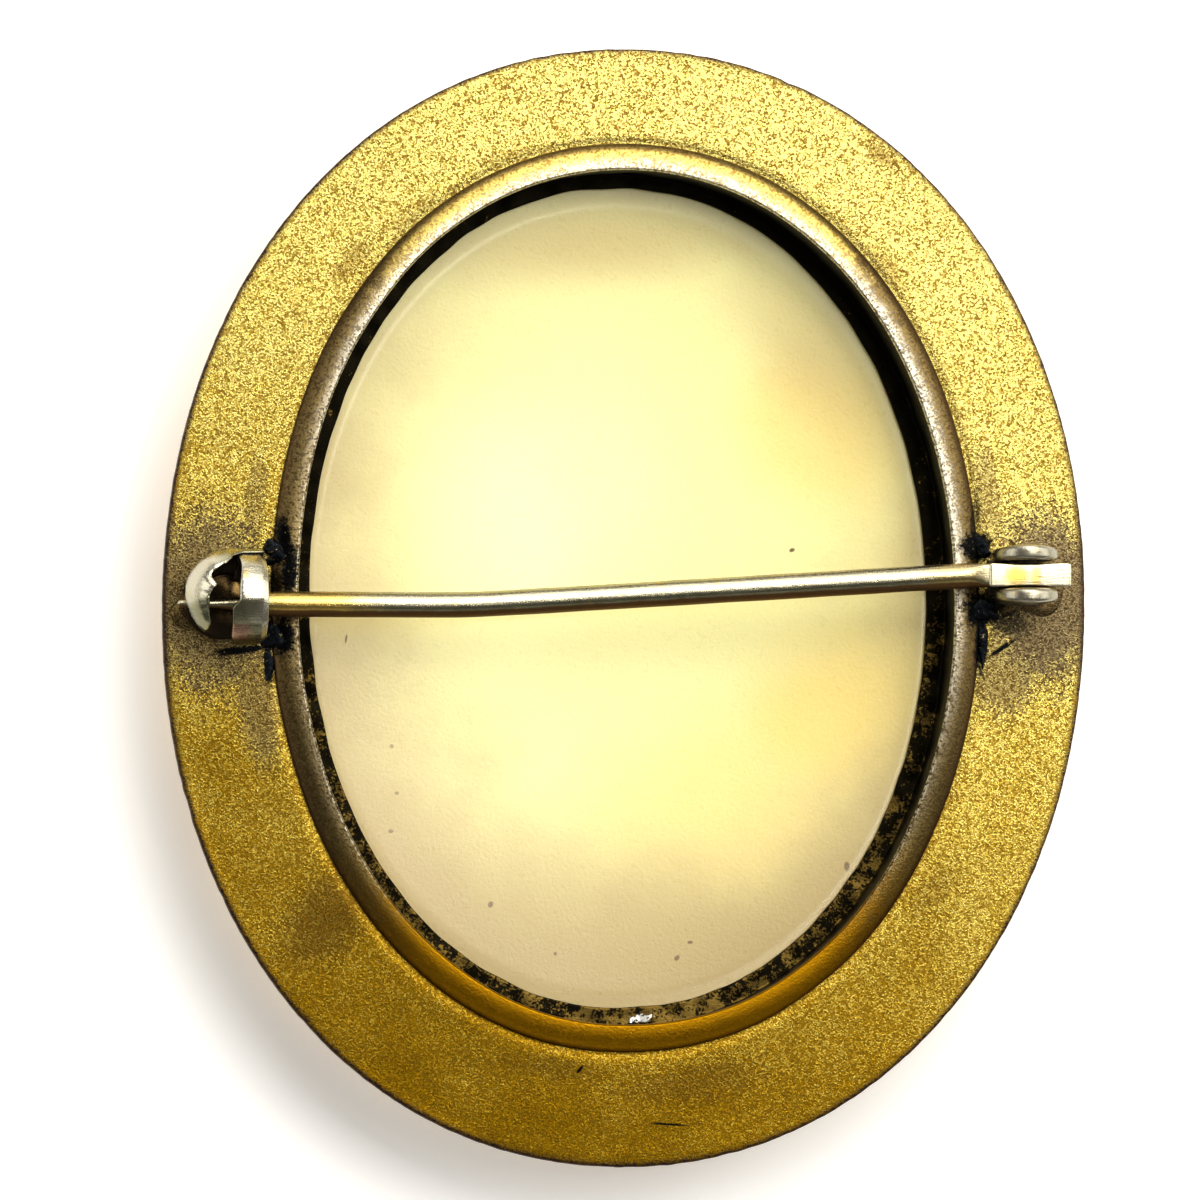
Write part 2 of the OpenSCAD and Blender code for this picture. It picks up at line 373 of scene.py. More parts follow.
class Sock:
    """A value in a finish, with Python's operators for its arithmetic."""

    def __init__(self, paint: "Paint", link: bpy.types.NodeSocket) -> None:
        """Wraps the output socket of one of the finish's nodes."""
        self.paint = paint
        self.link = link

    def _maths(self, operation: str, first: "Value", second: "Value" = 0.0) -> "Sock":
        """Adds one Math node."""
        return self.paint.get("ShaderNodeMath", {"operation": operation}, {0: first, 1: second})

    def __add__(self, other: "Value") -> "Sock":
        """self + other."""
        return self._maths("ADD", self, other)

    __radd__ = __add__

    def __sub__(self, other: "Value") -> "Sock":
        """self - other."""
        return self._maths("SUBTRACT", self, other)

    def __rsub__(self, other: "Value") -> "Sock":
        """other - self."""
        return self._maths("SUBTRACT", other, self)

    def __mul__(self, other: "Value") -> "Sock":
        """self * other."""
        return self._maths("MULTIPLY", self, other)

    __rmul__ = __mul__

    def __truediv__(self, other: "Value") -> "Sock":
        """self / other."""
        return self._maths("DIVIDE", self, other)

    def __pow__(self, other: "Value") -> "Sock":
        """self ** other."""
        return self._maths("POWER", self, other)

    def __abs__(self) -> "Sock":
        """The value without its sign."""
        return self._maths("ABSOLUTE", self)

    def most(self, other: "Value") -> "Sock":
        """The larger of self and other."""
        return self._maths("MAXIMUM", self, other)

    def step(self, low: float, high: float) -> "Sock":
        """Eases from 0 at low to 1 at high, or down where low is above high."""
        flip = low > high
        ends = {1: min(low, high), 2: max(low, high), 3: float(flip), 4: float(not flip)}
        settings = {"interpolation_type": "SMOOTHSTEP"}
        return self.paint.get("ShaderNodeMapRange", settings, {0: self, **ends})


Value = Sock | float | Sequence[float]


@dataclass(frozen=True)
class Mark:
    """An oval spot on a surface.

    Args:
        x: Its middle, in millimetres.
        y: Its middle, in millimetres.
        wide: Half its width.
        high: Half its height.
        turn: How far it is turned, in degrees.
        depth: How strongly it shows, from 0 to 1.
    """

    x: float
    y: float
    wide: float
    high: float
    turn: float = 0.0
    depth: float = 1.0


class Paint:
    """The node tree of one finish, on Object coordinates in millimetres."""

    def __init__(self, name: str) -> None:
        """Starts a material with a Principled shader.

        Args:
            name: The material's name.
        """
        self.material = bpy.data.materials.new(name)
        self.material.use_nodes = True
        self.tree = self.material.node_tree
        self.tree.nodes.clear()
        self.shader = self.node("ShaderNodeBsdfPrincipled")
        self.node("ShaderNodeOutputMaterial", inputs={"Surface": Sock(self, self.shader.outputs[0])})
        metres = self.get("ShaderNodeTexCoord", output="Object")
        self.place = self.vector("SCALE", metres, Scale=1 / MM)

    def node(
        self,
        kind: str,
        settings: Mapping[str, Any] | None = None,
        inputs: Mapping[int | str, Value] | None = None,
    ) -> bpy.types.Node:
        """Adds a node.

        Args:
            kind: The node's type.
            settings: Its own settings; "stops" are a ramp's positions and colours.
            inputs: Values or links for its sockets, by name or number.

        Returns:
            The node.
        """
        made = self.tree.nodes.new(kind)
        for key, value in (settings or {}).items():
            if key == "stops":
                ramp = made.color_ramp.elements
                while len(ramp) < len(value):
                    ramp.new(0.5)
                for stop, (position, colour) in zip(ramp, value):
                    stop.position, stop.color = position, (*colour, 1)
            else:
                setattr(made, key, value)
        self.feed(made, inputs or {})
        return made

    def feed(self, node: bpy.types.Node, inputs: Mapping[int | str, Value]) -> None:
        """Links or sets a node's sockets, by name or number."""
        for key, value in inputs.items():
            socket = node.inputs[key]
            if isinstance(value, Sock):
                self.tree.links.new(value.link, socket)
            else:
                socket.default_value = (*value, 1) if socket.type == "RGBA" else value

    def get(
        self,
        kind: str,
        settings: Mapping[str, Any] | None = None,
        inputs: Mapping[int | str, Value] | None = None,
        output: int | str = 0,
    ) -> Sock:
        """Adds a node and returns one of its outputs."""
        return Sock(self, self.node(kind, settings, inputs).outputs[output])

    def vector(self, operation: str, *values: Value, output: int = 0, **others: Value) -> Sock:
        """Adds a Vector Math node."""
        inputs = {**dict(enumerate(values)), **others}
        return self.get("ShaderNodeVectorMath", {"operation": operation}, inputs, output)

    def noise(self, scale: float, detail: float, rough: float, place: Sock | None = None) -> Sock:
        """Cloudy noise from 0 to 1, with scale features to the millimetre."""
        inputs = {"Vector": place or self.place, "Scale": scale, "Detail": detail, "Roughness": rough}
        return self.get("ShaderNodeTexNoise", None, inputs)

    def specks(self, scale: float, output: str = "Distance") -> Sock:
        """Distance to the nearest of many scattered points, in their own spacing, or its colour."""
        inputs = {"Vector": self.place, "Scale": scale, "Randomness": 1.0}
        return self.get("ShaderNodeTexVoronoi", {"feature": "F1"}, inputs, output)

    def grains(self, scale: float) -> Sock:
        """A random number from 0 to 1 for each of many scattered cells."""
        return self.get("ShaderNodeSeparateXYZ", None, {0: self.specks(scale, "Color")}, "X")

    def axis(self, name: str) -> Sock:
        """One coordinate of the place, in millimetres."""
        return self.get("ShaderNodeSeparateXYZ", None, {0: self.place}, name)

    def collar_radius(self) -> Sock:
        """Side radius, in the collar's family, of the oval through each place: the root, of the
        power square, of the sum of |x| and |y / tall| to that power."""
        across = abs(self.axis("X"))
        along = abs(self.axis("Y") - OVALS.collar_up) * (1 / OVALS.collar_tall)
        return (across**OVALS.square + along**OVALS.square) ** (1 / OVALS.square)

    def apart(self, mark: Mark) -> Sock:
        """Distance from a mark's middle, 1 at its outline."""
        inputs = {
            "Vector": self.place,
            "Location": (mark.x, mark.y, 0),
            "Rotation": (0, 0, np.radians(mark.turn)),
            "Scale": (mark.wide, mark.high, 1e4),
        }
        local = self.get("ShaderNodeMapping", {"vector_type": "TEXTURE"}, inputs)
        return self.vector("LENGTH", local, output=1)

    def spots(self, marks: Sequence[Mark], ragged: Value, soft: float) -> Sock:
        """A mask of several marks.

        Args:
            marks: The marks.
            ragged: Added to each distance, to break the outlines.
            soft: How far each outline fades, as a share of the mark.

        Returns:
            0 away from them and up to their depth inside.
        """
        total: Sock | None = None
        for mark in marks:
            here = (self.apart(mark) + ragged).step(1 + soft, 1 - soft) * mark.depth
            total = here if total is None else total.most(here)
        return total

    def mix(self, factor: Value, first: Value, second: Value) -> Sock:
        """A colour that goes from first to second as factor goes from 0 to 1."""
        settings = {"data_type": "RGBA", "clamp_factor": True}
        return self.get("ShaderNodeMix", settings, {0: factor, 6: first, 7: second}, 2)

    def blend(self, factor: Sock, first: Value, second: Value) -> Sock:
        """A number that goes from first to second as factor goes from 0 to 1."""
        return self.get("ShaderNodeMix", {"data_type": "FLOAT"}, {0: factor, 2: first, 3: second})

    def bump(self, height: Sock, depth: float) -> Sock:
        """A normal bent by height, which stands for depth millimetres from 0 to 1."""
        inputs = {"Height": height, "Distance": depth * MM, "Strength": 1.0}
        return self.get("ShaderNodeBump", None, inputs)

    def mark(self, name: str) -> Sock:
        """A value kept at the piece's points."""
        return self.get("ShaderNodeAttribute", {"attribute_name": name}, output="Fac")

    def finish(self, **sockets: Value) -> bpy.types.Material:
        """Sets the shader's sockets, with underscores for the spaces in their names.

        Returns:
            The finished material.
        """
        self.feed(self.shader, {name.replace("_", " "): value for name, value in sockets.items()})
        return self.material


# Brown haloes that the soldering left round the catch and the hinge
HALOES = (
    Mark(-18.6, 0.3, 3.2, 4.0),
    Mark(-16.6, -4.4, 0.9, 2.6, 8, 0.7),
    Mark(18.9, 0.4, 2.7, 3.9),
    Mark(17.2, -2.9, 1.5, 2.0, -8, 0.7),
    Mark(16.4, 4.9, 0.6, 2.4, 8, 0.5),
    Mark(-16.7, 4.6, 0.5, 2.2, -8, 0.45),
)
SOOT = (
    Mark(-15.45, 3.2, 0.34, 0.8),
    Mark(-15.6, 2.5, 0.75, 0.6),
    Mark(-15.2, 1.5, 0.36, 1.1),
    Mark(-15.8, 1.0, 0.35, 0.6, 0, 0.7),
    Mark(-15.55, -1.35, 0.6, 0.8),
    Mark(-17.35, -1.9, 1.2, 0.18, 8),
    Mark(-16.1, -2.6, 0.22, 0.95, 3),
    Mark(15.87, 2.7, 0.75, 0.68),
    Mark(15.75, 3.9, 0.22, 0.9, -6, 0.7),
    Mark(16.0, -0.15, 0.9, 0.8),
    Mark(16.03, -1.6, 0.3, 1.4, -4),
    Mark(17.4, -0.7, 0.9, 0.55, -8, 0.7),
)
# Other stains of the flange, the crumb on the collar's bottom, and dark scratches
STAINS = (
    Mark(-13.6, -13.9, 1.5, 2.3, -38, 0.75),
    Mark(3.0, -21.2, 3.0, 0.75, 8, 0.5),
    Mark(-3.4, -20.5, 2.4, 0.4, -8, 0.4),
    Mark(11.7, 20.3, 0.9, 0.4, -38, 0.7),
    Mark(11.9, 15.2, 1.7, 0.6, -52, 0.5),
    Mark(-12.3, 15.4, 1.3, 0.6, 50, 0.55),
    Mark(-9.6, 17.6, 1.6, 0.35, 38, 0.4),
    Mark(-5.2, 20.2, 1.3, 0.3, 18, 0.4),
    Mark(13.9, -12.6, 1.4, 0.7, 48, 0.35),
)
CRUMB = (Mark(0.86, -18.3, 0.42, 0.14, 5),)
SCRATCHES = (
    Mark(17.03, -1.82, 0.75, 0.1, 33),
    Mark(1.8, -23.1, 0.9, 0.05, -4),
    Mark(-2.2, -20.65, 0.2, 0.07, 50),
)


@dataclass(frozen=True)
class Soot:
    """Soot with flecks of gilding in it, where the flange's and the collar's gilding was scorched."""

    black: Colour = (0.007, 0.007, 0.007)
    fleck: Colour = (0.45, 0.34, 0.12)

    def where(self, paint: Paint, broken: Sock) -> Sock:
        """A mask of the soot, its outlines roughened by a coarse and a fine noise."""
        return paint.spots(SOOT, broken * 1.2 + (paint.noise(4.5, 3, 0.7) - 0.5) * 1.6, 0.3)

    def over(self, paint: Paint, mask: Sock, colour: Sock, grain: Sock) -> Sock:
        """The colour with the soot over it, and flecks where the grain is highest."""
        return paint.mix(mask, colour, paint.mix(grain.step(0.74, 0.84), self.black, self.fleck))


@dataclass(frozen=True)
class BloomedGilt:
    """The flange's matt sand-grained gilding: stained, with painted shade along the crease,
    scorched by the soldering, and brown at its edge.

    The tones go from the bottom, in painted shade, to the top, in painted light.
    A piece's mark "rim" is its side radius.
    """

    tones: tuple[tuple[float, Colour], ...] = (
        (0.0, (0.17, 0.09, 0.002)),
        (0.3, (0.32, 0.185, 0.004)),
        (0.62, (0.52, 0.39, 0.075)),
        (1.0, (0.64, 0.54, 0.18)),
    )
    pit: Colour = (0.20, 0.12, 0.02)
    scorched_left: Colour = (0.22, 0.165, 0.078)
    scorched_right: Colour = (0.155, 0.115, 0.068)
    scorched_pit: Colour = (0.07, 0.047, 0.025)
    stain_and_shade: Colour = (0.13, 0.07, 0.012)
    edge: Colour = (0.05, 0.03, 0.025)
    soot: Soot = Soot()
    grain_scale: float = 13.0

    def make(self) -> bpy.types.Material:
        """Builds the finish."""
        paint = Paint("bloomed_gilt")
        x, y, rim = paint.axis("X"), paint.axis("Y"), paint.mark("rim")
        grain = paint.grains(self.grain_scale) * 0.55 + paint.noise(self.grain_scale, 3, 0.65) * 0.45
        pits = grain.step(0.25, 0.55)
        cloud = paint.noise(0.30, 3, 0.6)
        broken = paint.noise(1.6, 4, 0.7) - 0.5
        # Painted light: brighter, with coarser painted glints in the grain, towards the top right; painted
        # shade towards the bottom
        painted_light_slope = (x * 0.27 + y * 0.8) / 46 + 0.64
        tone = painted_light_slope + (cloud - 0.5) * 0.4 + (grain - 0.5) * (0.3 + painted_light_slope * 1.5)
        colour = paint.get("ShaderNodeValToRGB", {"stops": self.tones}, {0: tone})
        colour = paint.mix((1 - pits) * (0.15 + painted_light_slope * 0.85), colour, self.pit)
        halo = paint.spots(HALOES, broken * 0.9 + (grain - 0.5) * 0.7, 0.3)
        scorched = paint.mix(x.step(-5, 5), self.scorched_left, self.scorched_right)
        colour = paint.mix(halo * 0.92, colour, paint.mix(pits, self.scorched_pit, scorched))
        stains = paint.spots(STAINS, broken * 1.2 + (grain - 0.5) * 0.9, 0.45)
        # Stain and painted shade along the crease
        crease_stain_and_shade = rim + broken * 0.7 + (grain - 0.5) * 0.7
        crease_stain_and_shade = crease_stain_and_shade.step(OVALS.crease_r + 0.6, OVALS.crease_r)
        colour = paint.mix(stains.most(crease_stain_and_shade * 0.3) * 0.8, colour, self.stain_and_shade)
        worn = (rim + broken * 0.2 + (grain - 0.5) * 0.4).step(20.48, 20.82)
        colour = paint.mix(worn, colour, self.edge)
        black = self.soot.where(paint, broken).most(paint.spots(SCRATCHES, broken * 0.4, 0.3))
        colour = self.soot.over(paint, black, colour, grain)
        rough = paint.blend(black, 0.37 - pits * 0.10, 0.25)
        normal = paint.bump(grain, 0.05)
        return paint.finish(Base_Color=colour, Metallic=1.0, Roughness=rough, Normal=normal)


@dataclass(frozen=True)
class CollarGilt:
    """The collar, well and ledge: orange gilding with grey and brown tarnish, painted black as shade down in
    the well.

    A piece's mark "rim" is its side radius.
    """

    gold: Colour = (0.54, 0.42, 0.13)
    gold_pit: Colour = (0.30, 0.19, 0.04)
    orange: Colour = (0.37, 0.19, 0.004)
    worn: Colour = (0.86, 0.81, 0.68)
    tarnish_left: Colour = (0.25, 0.18, 0.075)
    tarnish_right: Colour = (0.15, 0.105, 0.045)
    tarnish_pit: Colour = (0.08, 0.052, 0.022)
    # Painted shade for the sides below the middle
    side_shade: Colour = (0.05, 0.034, 0.010)
    # Stain and painted shade in the crease, at the top and at the bottom
    crease_top: Colour = (0.08, 0.048, 0.02)
    crease_bottom: Colour = (0.07, 0.022, 0.003)
    # Painted shade: black for the well's wall below its edge
    well: Colour = (0.010, 0.008, 0.004)
    ledge: Colour = (0.19, 0.125, 0.03)
    crumb: Colour = (0.85, 0.83, 0.78)
    soot: Soot = Soot()

    def make(self) -> bpy.types.Material:
        """Builds the finish."""
        paint = Paint("collar_gilt")
        x, along, height = paint.axis("X"), paint.axis("Y"), paint.axis("Z")
        side, bead = abs(x), paint.mark("rim")
        grain = paint.grains(11.5) * 0.5 + paint.noise(10, 3, 0.65) * 0.5
        pits = grain.step(0.28, 0.58)
        cloud = paint.noise(0.9, 4, 0.65)
        broken = paint.noise(1.6, 4, 0.7) - 0.5
        # Orange at the bottom, gold above, tarnished at the sides, and darker below them with painted shade
        low = (along + broken * 3).step(-8, -15)
        high = 1 - low
        colour = paint.mix(low, paint.mix(pits, self.gold_pit, self.gold), self.orange)
        sides = (side + broken * 5).step(8.5, 12.5)
        tarnish = (sides + (cloud - 0.5) * 0.5).step(0.15, 0.85) * (1 - low * 0.8)
        brown = paint.mix(x.step(-8, 8), self.tarnish_left, self.tarnish_right)
        colour = paint.mix(tarnish * 0.9, colour, paint.mix(pits, self.tarnish_pit, brown))
        side_shade = side.step(7.5, 12.5) * (along + broken * 5).step(2, -8)
        colour = paint.mix(side_shade * 0.55, colour, self.side_shade)
        # Worn pale on the bead, with a painted highlight that is strongest at the lit top right, and darker
        # in the crease outside it
        lip = (bead + (grain - 0.5) * 0.9 + broken * 0.4).step(15.5, 14.9) * high
        painted_highlight_side = (x * 0.35 + along + broken * 8).step(-3, 11) * 0.8 + 0.1
        colour = paint.mix(lip * (0.2 + pits * 0.8) * painted_highlight_side, colour, self.worn)
        # Stain and painted shade in the crease
        crease = (bead + broken * 0.15 - low * 0.18).step(15.55, 15.85)
        colour = paint.mix(crease * 0.8, colour, paint.mix(low, self.crease_top, self.crease_bottom))
        black = self.soot.where(paint, broken)
        colour = self.soot.over(paint, black, colour, grain)
        # Below its edge the well is painted black as shade, with old gilding left on the ledge
        inner = bead.step(14.95, 14.83)
        inside = height.step(6.36, 6.30) * inner
        mottled = (paint.noise(1.3, 5, 0.75) + (grain - 0.5) * 0.3 - along * 0.006).step(0.57, 0.66)
        floor = (height + broken * 0.6).step(4.0, 3.65)
        colour = paint.mix(inside, colour, paint.mix(floor * mottled * 0.8, self.well, self.ledge))
        edge = height.step(6.30, 6.33) * inner * grain.step(0.4, 0.6)
        colour = paint.mix(edge * high * 0.6, colour, self.worn)
        colour = paint.mix(paint.spots(CRUMB, (grain - 0.5) * 2.4, 0.2), colour, self.crumb)
        rough = paint.blend(inside, paint.blend(black, 0.40 - pits * 0.10, 0.25), 0.4)
        normal = paint.bump(grain, 0.04)
        return paint.finish(Base_Color=colour, Metallic=1.0, Roughness=rough, Normal=normal)


@dataclass(frozen=True)
class FrontGilt:
    """The front border: polished gilding, plainly finished, with brown left in its hollows."""

    gold: Colour = (0.90, 0.62, 0.20)
    deep: Colour = (0.70, 0.42, 0.09)
    hollow: Colour = (0.20, 0.12, 0.05)

    def make(self) -> bpy.types.Material:
        """Builds the finish."""
        paint = Paint("front_gilt")
        cloud = paint.noise(0.5, 4, 0.6)
        grain = paint.noise(6, 3, 0.6)
        hollow = (paint.axis("Z") + (cloud - 0.5) * 1.2).step(1.3, 2.1)
        colour = paint.mix(cloud.step(0.3, 0.7), self.deep, self.gold)
        colour = paint.mix(hollow * 0.75, colour, self.hollow)
        rough = 0.24 + hollow * 0.22 + (grain - 0.5) * 0.12
        normal = paint.bump(grain, 0.008)
        return paint.finish(Base_Color=colour, Metallic=1.0, Roughness=rough, Normal=normal)


SHELL_R = 14.52
SHELL_SPECKS = (
    Mark(7.98, 2.7, 0.13, 0.09, 20),
    Mark(-5.8, -13.2, 0.16, 0.12, 60, 0.8),
    Mark(10.3, -11.5, 0.12, 0.2, 0, 0.8),
    Mark(-10.2, -6.1, 0.09, 0.09, 0, 0.6),
    Mark(-10.0, -8.2, 0.1, 0.08, 0, 0.6),
    Mark(-10.3, -9.9, 0.11, 0.09, 0, 0.7),
    Mark(-12.25, -1.3, 0.05, 0.2, -8, 0.9),
    Mark(3.2, -14.9, 0.12, 0.07, 0, 0.9),
    Mark(2.6, -15.6, 0.1, 0.16, -40, 0.9),
    Mark(-2.9, -15.4, 0.08, 0.08, 0, 0.8),
    Mark(12.3, -10.2, 0.14, 0.14, 0, 0.7),
)
SHELL_CLOUDS = (
    Mark(-0.9, 16.2, 4.6, 1.3, 3, 0.7),
    Mark(8.7, 11.2, 3.5, 1.6, -48, 0.6),
)
SHELL_WARMTH = (
    Mark(9.0, 8.0, 3.4, 2.6, -50, 0.7),
    Mark(9.4, -4.6, 4.2, 3.0, 30, 0.9),
    Mark(4.5, -8.0, 5.0, 3.4, 10, 0.6),
)


@dataclass(frozen=True)
class CarvedShell:
    """The shell: cream and waxy behind, and a pale carving on a tan ground in front.

    Its mark "relief" is the height of the carving, from 0 to 1.
    """

    cream: Colour = (0.94, 0.87, 0.42)
    rim: Colour = (0.60, 0.47, 0.22)
    foot: Colour = (0.44, 0.33, 0.13)
    warm: Colour = (0.93, 0.74, 0.26)
    cloud: Colour = (0.60, 0.42, 0.18)
    speck: Colour = (0.16, 0.09, 0.03)
    ground: Colour = (0.42, 0.20, 0.10)
    carving: Colour = (0.90, 0.80, 0.66)
    ridge_highlight: Colour = (0.95, 0.90, 0.80)

    def make(self) -> bpy.types.Material:
        """Builds the finish."""
        paint = Paint("carved_shell")
        x, y, relief = paint.axis("X"), paint.axis("Y"), paint.mark("relief")
        fine = paint.noise(2.2, 4, 0.6)
        broken = (paint.noise(0.25, 3, 0.55) - 0.5) * 0.9
        # The back darkens towards its rim, partly its own tone and partly painted shade under the well's
        # wall, and most at the bottom
        lower = paint.collar_radius() / SHELL_R + broken * 0.5 - y * 0.016 - x * 0.006
        colour = paint.mix(lower.step(0.45, 1.2), self.cream, self.rim)
        colour = paint.mix((y + broken * 4).step(-7, -19) * 0.75, colour, self.foot)
        colour = paint.mix(paint.spots(SHELL_WARMTH, broken, 0.7), colour, self.warm)
        colour = paint.mix(paint.spots(SHELL_CLOUDS, broken * 1.5, 0.9) * 0.65, colour, self.cloud)
        colour = paint.mix(paint.specks(1.3).step(0.07, 0.03) * 0.35, colour, self.cloud)
        specks = paint.spots(SHELL_SPECKS, (fine - 0.5) * 0.8, 0.3)
        colour = paint.mix(specks * 0.9, colour, self.speck)
        cut = paint.mix((relief + (fine - 0.5) * 0.2).step(0.04, 0.3), self.ground, self.carving)
        # Painted highlight: paler on the carving's highest ridges
        cut = paint.mix(relief.step(0.5, 1.0) * 0.5, cut, self.ridge_highlight)
        colour = paint.mix(paint.axis("Z").step(1.75, 1.55), colour, cut)
        return paint.finish(
            Base_Color=colour,
            Roughness=0.30 + (fine - 0.5) * 0.25,
            Subsurface_Weight=0.12,
            Subsurface_Radius=(1.0, 0.7, 0.4),
            Subsurface_Scale=0.0012,
            Coat_Weight=0.35,
            Coat_Roughness=0.14,
            Normal=paint.bump(paint.noise(6, 4, 0.65), 0.012),
        )


@dataclass(frozen=True)
class FindingsMetal:
    """The pin, catch and hinge: pale brass gone silvery, with gold, pink and green tints, dirt and painted
    shade.

    A piece's own marks add to it: "shade" is its dirt and painted shade, and "tone" goes from 0,
    silvery, over 0.5, grey green, to 1, pinkish brown.

    Args:
        name: The finish's name.
        silver: Its usual colour.
        gold: Colour of the gilding that is left.
        green: Its grey green tone.
        pink: Its pinkish brown tone.
        grime_and_shade: Colour of the dirt and of the painted shade.
        polish: Its usual roughness.
        gilding: Places where gilding is left; by default one that doesn't show.
    """

    name: str
    silver: Colour = (0.56, 0.52, 0.40)
    gold: Colour = (0.60, 0.42, 0.10)
    green: Colour = (0.25, 0.24, 0.15)
    pink: Colour = (0.30, 0.19, 0.13)
    grime_and_shade: Colour = (0.030, 0.020, 0.012)
    polish: float = 0.26
    gilding: tuple[Mark, ...] = (Mark(0, 0, 0.1, 0.1, 0, 0.0),)

    def make(self) -> bpy.types.Material:
        """Builds the finish."""
        paint = Paint(self.name)
        cloud = paint.noise(1.1, 4, 0.65)
        grain = paint.noise(9, 4, 0.65)
        scratches = paint.noise(9, 2, 0.6, paint.vector("MULTIPLY", paint.place, (0.12, 1, 1)))
        mottle = (cloud - 0.5) * 0.5 + (grain - 0.5) * 0.25
        tone = paint.mark("tone") + mottle * 0.8
        colour = paint.mix(tone.step(0.1, 0.45), self.silver, self.green)
        colour = paint.mix(tone.step(0.55, 0.9), colour, self.pink)
        patches = paint.noise(1.3, 3, 0.6).step(0.6, 0.75)
        left = paint.spots(self.gilding, mottle * 1.5, 0.6).most(patches * 0.6)
        colour = paint.mix(left * 0.85, colour, self.gold)
        # Dirt and painted shade where the mark "shade" is high
        dirt_and_shade = (paint.mark("shade") + mottle).step(0.25, 0.75)
        colour = paint.mix(dirt_and_shade * 0.95, colour, self.grime_and_shade)
        rough = self.polish + (grain - 0.5) * 0.2 + dirt_and_shade * 0.2
        normal = paint.bump(grain * 0.6 + scratches * 0.8, 0.012)
        return paint.finish(Base_Color=colour, Metallic=1.0, Roughness=rough, Normal=normal)


@dataclass(frozen=True)
class BurntSolder:
    """Lumps of old solder, blue black and glossy, with flecks of gold."""

    black: Colour = (0.006, 0.008, 0.011)
    blue: Colour = (0.05, 0.055, 0.065)
    fleck: Colour = (0.50, 0.38, 0.14)

    def make(self) -> bpy.types.Material:
        """Builds the finish."""
        paint = Paint("burnt_solder")
        lumps = paint.noise(2.6, 4, 0.7)
        flecks = paint.noise(3.4, 3, 0.75).step(0.62, 0.7)
        dark = paint.mix(lumps.step(0.5, 0.72), self.black, self.blue)
        colour = paint.mix(flecks, dark, self.fleck)
        rough = 0.28 + (lumps - 0.5) * 0.3
        normal = paint.bump(lumps, 0.15)
        return paint.finish(Base_Color=colour, Metallic=0.9, Roughness=rough, Normal=normal)


# ---------------------------------------------------------------- frame


@dataclass
class Flange:
    """The wide back plate, sloping from the crease to a thin worn edge."""

    turns: int = 720
    inner_r: float = 15.1
    edge_t: float = 0.45
    edge_round: float = 0.11
    worn_r: float = 20.2
    groove: float = 0.05
    groove_w: float = 0.25
    wave: float = 0.012

    def shape(self) -> Shape:
        """The closed plate.

        Each ring has a side radius and a height beside the flange's slope. Ovals go evenly from a
        blend of the two families at the crease to the frame's at the edge. The top waves a little
        and dips into a groove at the crease, by a bell curve. Outside worn_r the rim is nicked.

        Returns:
            Its surface, with its side radius as the mark "rim".
        """
        edge, curl, under_z = OVALS.frame_r, self.edge_round, -0.74
        top = np.linspace((self.inner_r, 0), (edge - curl, 0), 74)[:-1]
        over = arc((edge - curl, -curl), curl, 90, 0, 7)
        under = arc((edge - curl, curl - self.edge_t), curl, 0, -90, 5)
        rest = [(20.45, -0.53), (20.2, -0.642), (19.6, -0.7), (19.2, under_z), (self.inner_r, under_z)]
        rows = np.vstack([top, over, under, rest])
        radii = rows[:, 0]
        share = np.clip((radii - OVALS.crease_r) / (edge - OVALS.crease_r), 0, 1)
        share = OVALS.crease_share + (1 - OVALS.crease_share) * share
        # Underneath, the plate meets the border's neck in the frame's family
        share[-3:-1] = 1
        x, y = OVALS.rings(radii, share, self.turns)
        places = xyz(x, y, 0)
        outer = ease((radii - self.worn_r) / 0.6)[:, None]
        nicks = 0.006 * ripple(places, 0.7, 11) + 0.03 * np.maximum(ripple(places, 1.4, 12) - 0.9, 0)
        x, y = x * (1 - outer * nicks / edge * 1.4), y * (1 - outer * nicks / edge * 1.4)
        upper = (np.arange(len(rows)) < len(top) + len(over))[:, None]
        groove = self.groove * np.exp(-(((radii - OVALS.crease_r)[:, None] / self.groove_w) ** 2))
        wave = self.wave * ripple(places, 9, 13) + self.wave * 0.35 * ripple(places, 2.4, 14)
        z = OVALS.flange_at(x, y) + rows[:, 1:] + upper * (wave * (1 - outer) - groove)
        return hoop(xyz(x, y, z), rim=radii[:, None])


@dataclass
class Border:
    """The half-round border on the front, its neck under the flange, and the flat ground inside it."""

    turns: int = 480
    middle_r: float = 18.2
    middle_z: float = 1.85
    radius: float = 1.9
    neck_r: float = 19.435
    top_z: float = 5.15
    ground_z: float = 1.9
    ground_r: float = 16.3
    inner_r: float = 15.0

    def shape(self) -> Shape:
        """The closed ring: down the neck, round the half round, over its flat rest and the ground.

        Returns:
            Its surface.
        """
        meet = np.degrees(np.arccos((self.neck_r - self.middle_r) / self.radius))
        flat = np.degrees(np.arcsin(self.middle_z / self.radius))
        middle, inside = (self.middle_r, self.middle_z), self.inner_r + 0.1
        neck_z = self.middle_z + self.radius * np.sin(np.radians(meet)) + 0.05
        ground = (self.middle_r - self.radius - 0.05, self.ground_z)
        rows = np.vstack([
            np.linspace((self.neck_r, self.top_z), (self.neck_r, neck_z), 6),
            arc(middle, self.radius, meet, -flat, 40),
            arc(middle, self.radius, flat - 180, -179, 30),
            np.linspace(ground, (inside, self.ground_z), 8),
            [(self.inner_r, self.ground_z), (self.inner_r, self.top_z)],
        ])
        radii = rows[:, 0]
        share = np.clip((radii - inside) / (self.ground_r - inside), 0, 1)
        return hoop(xyz(*OVALS.rings(radii, share, self.turns), rows[:, 1:]))


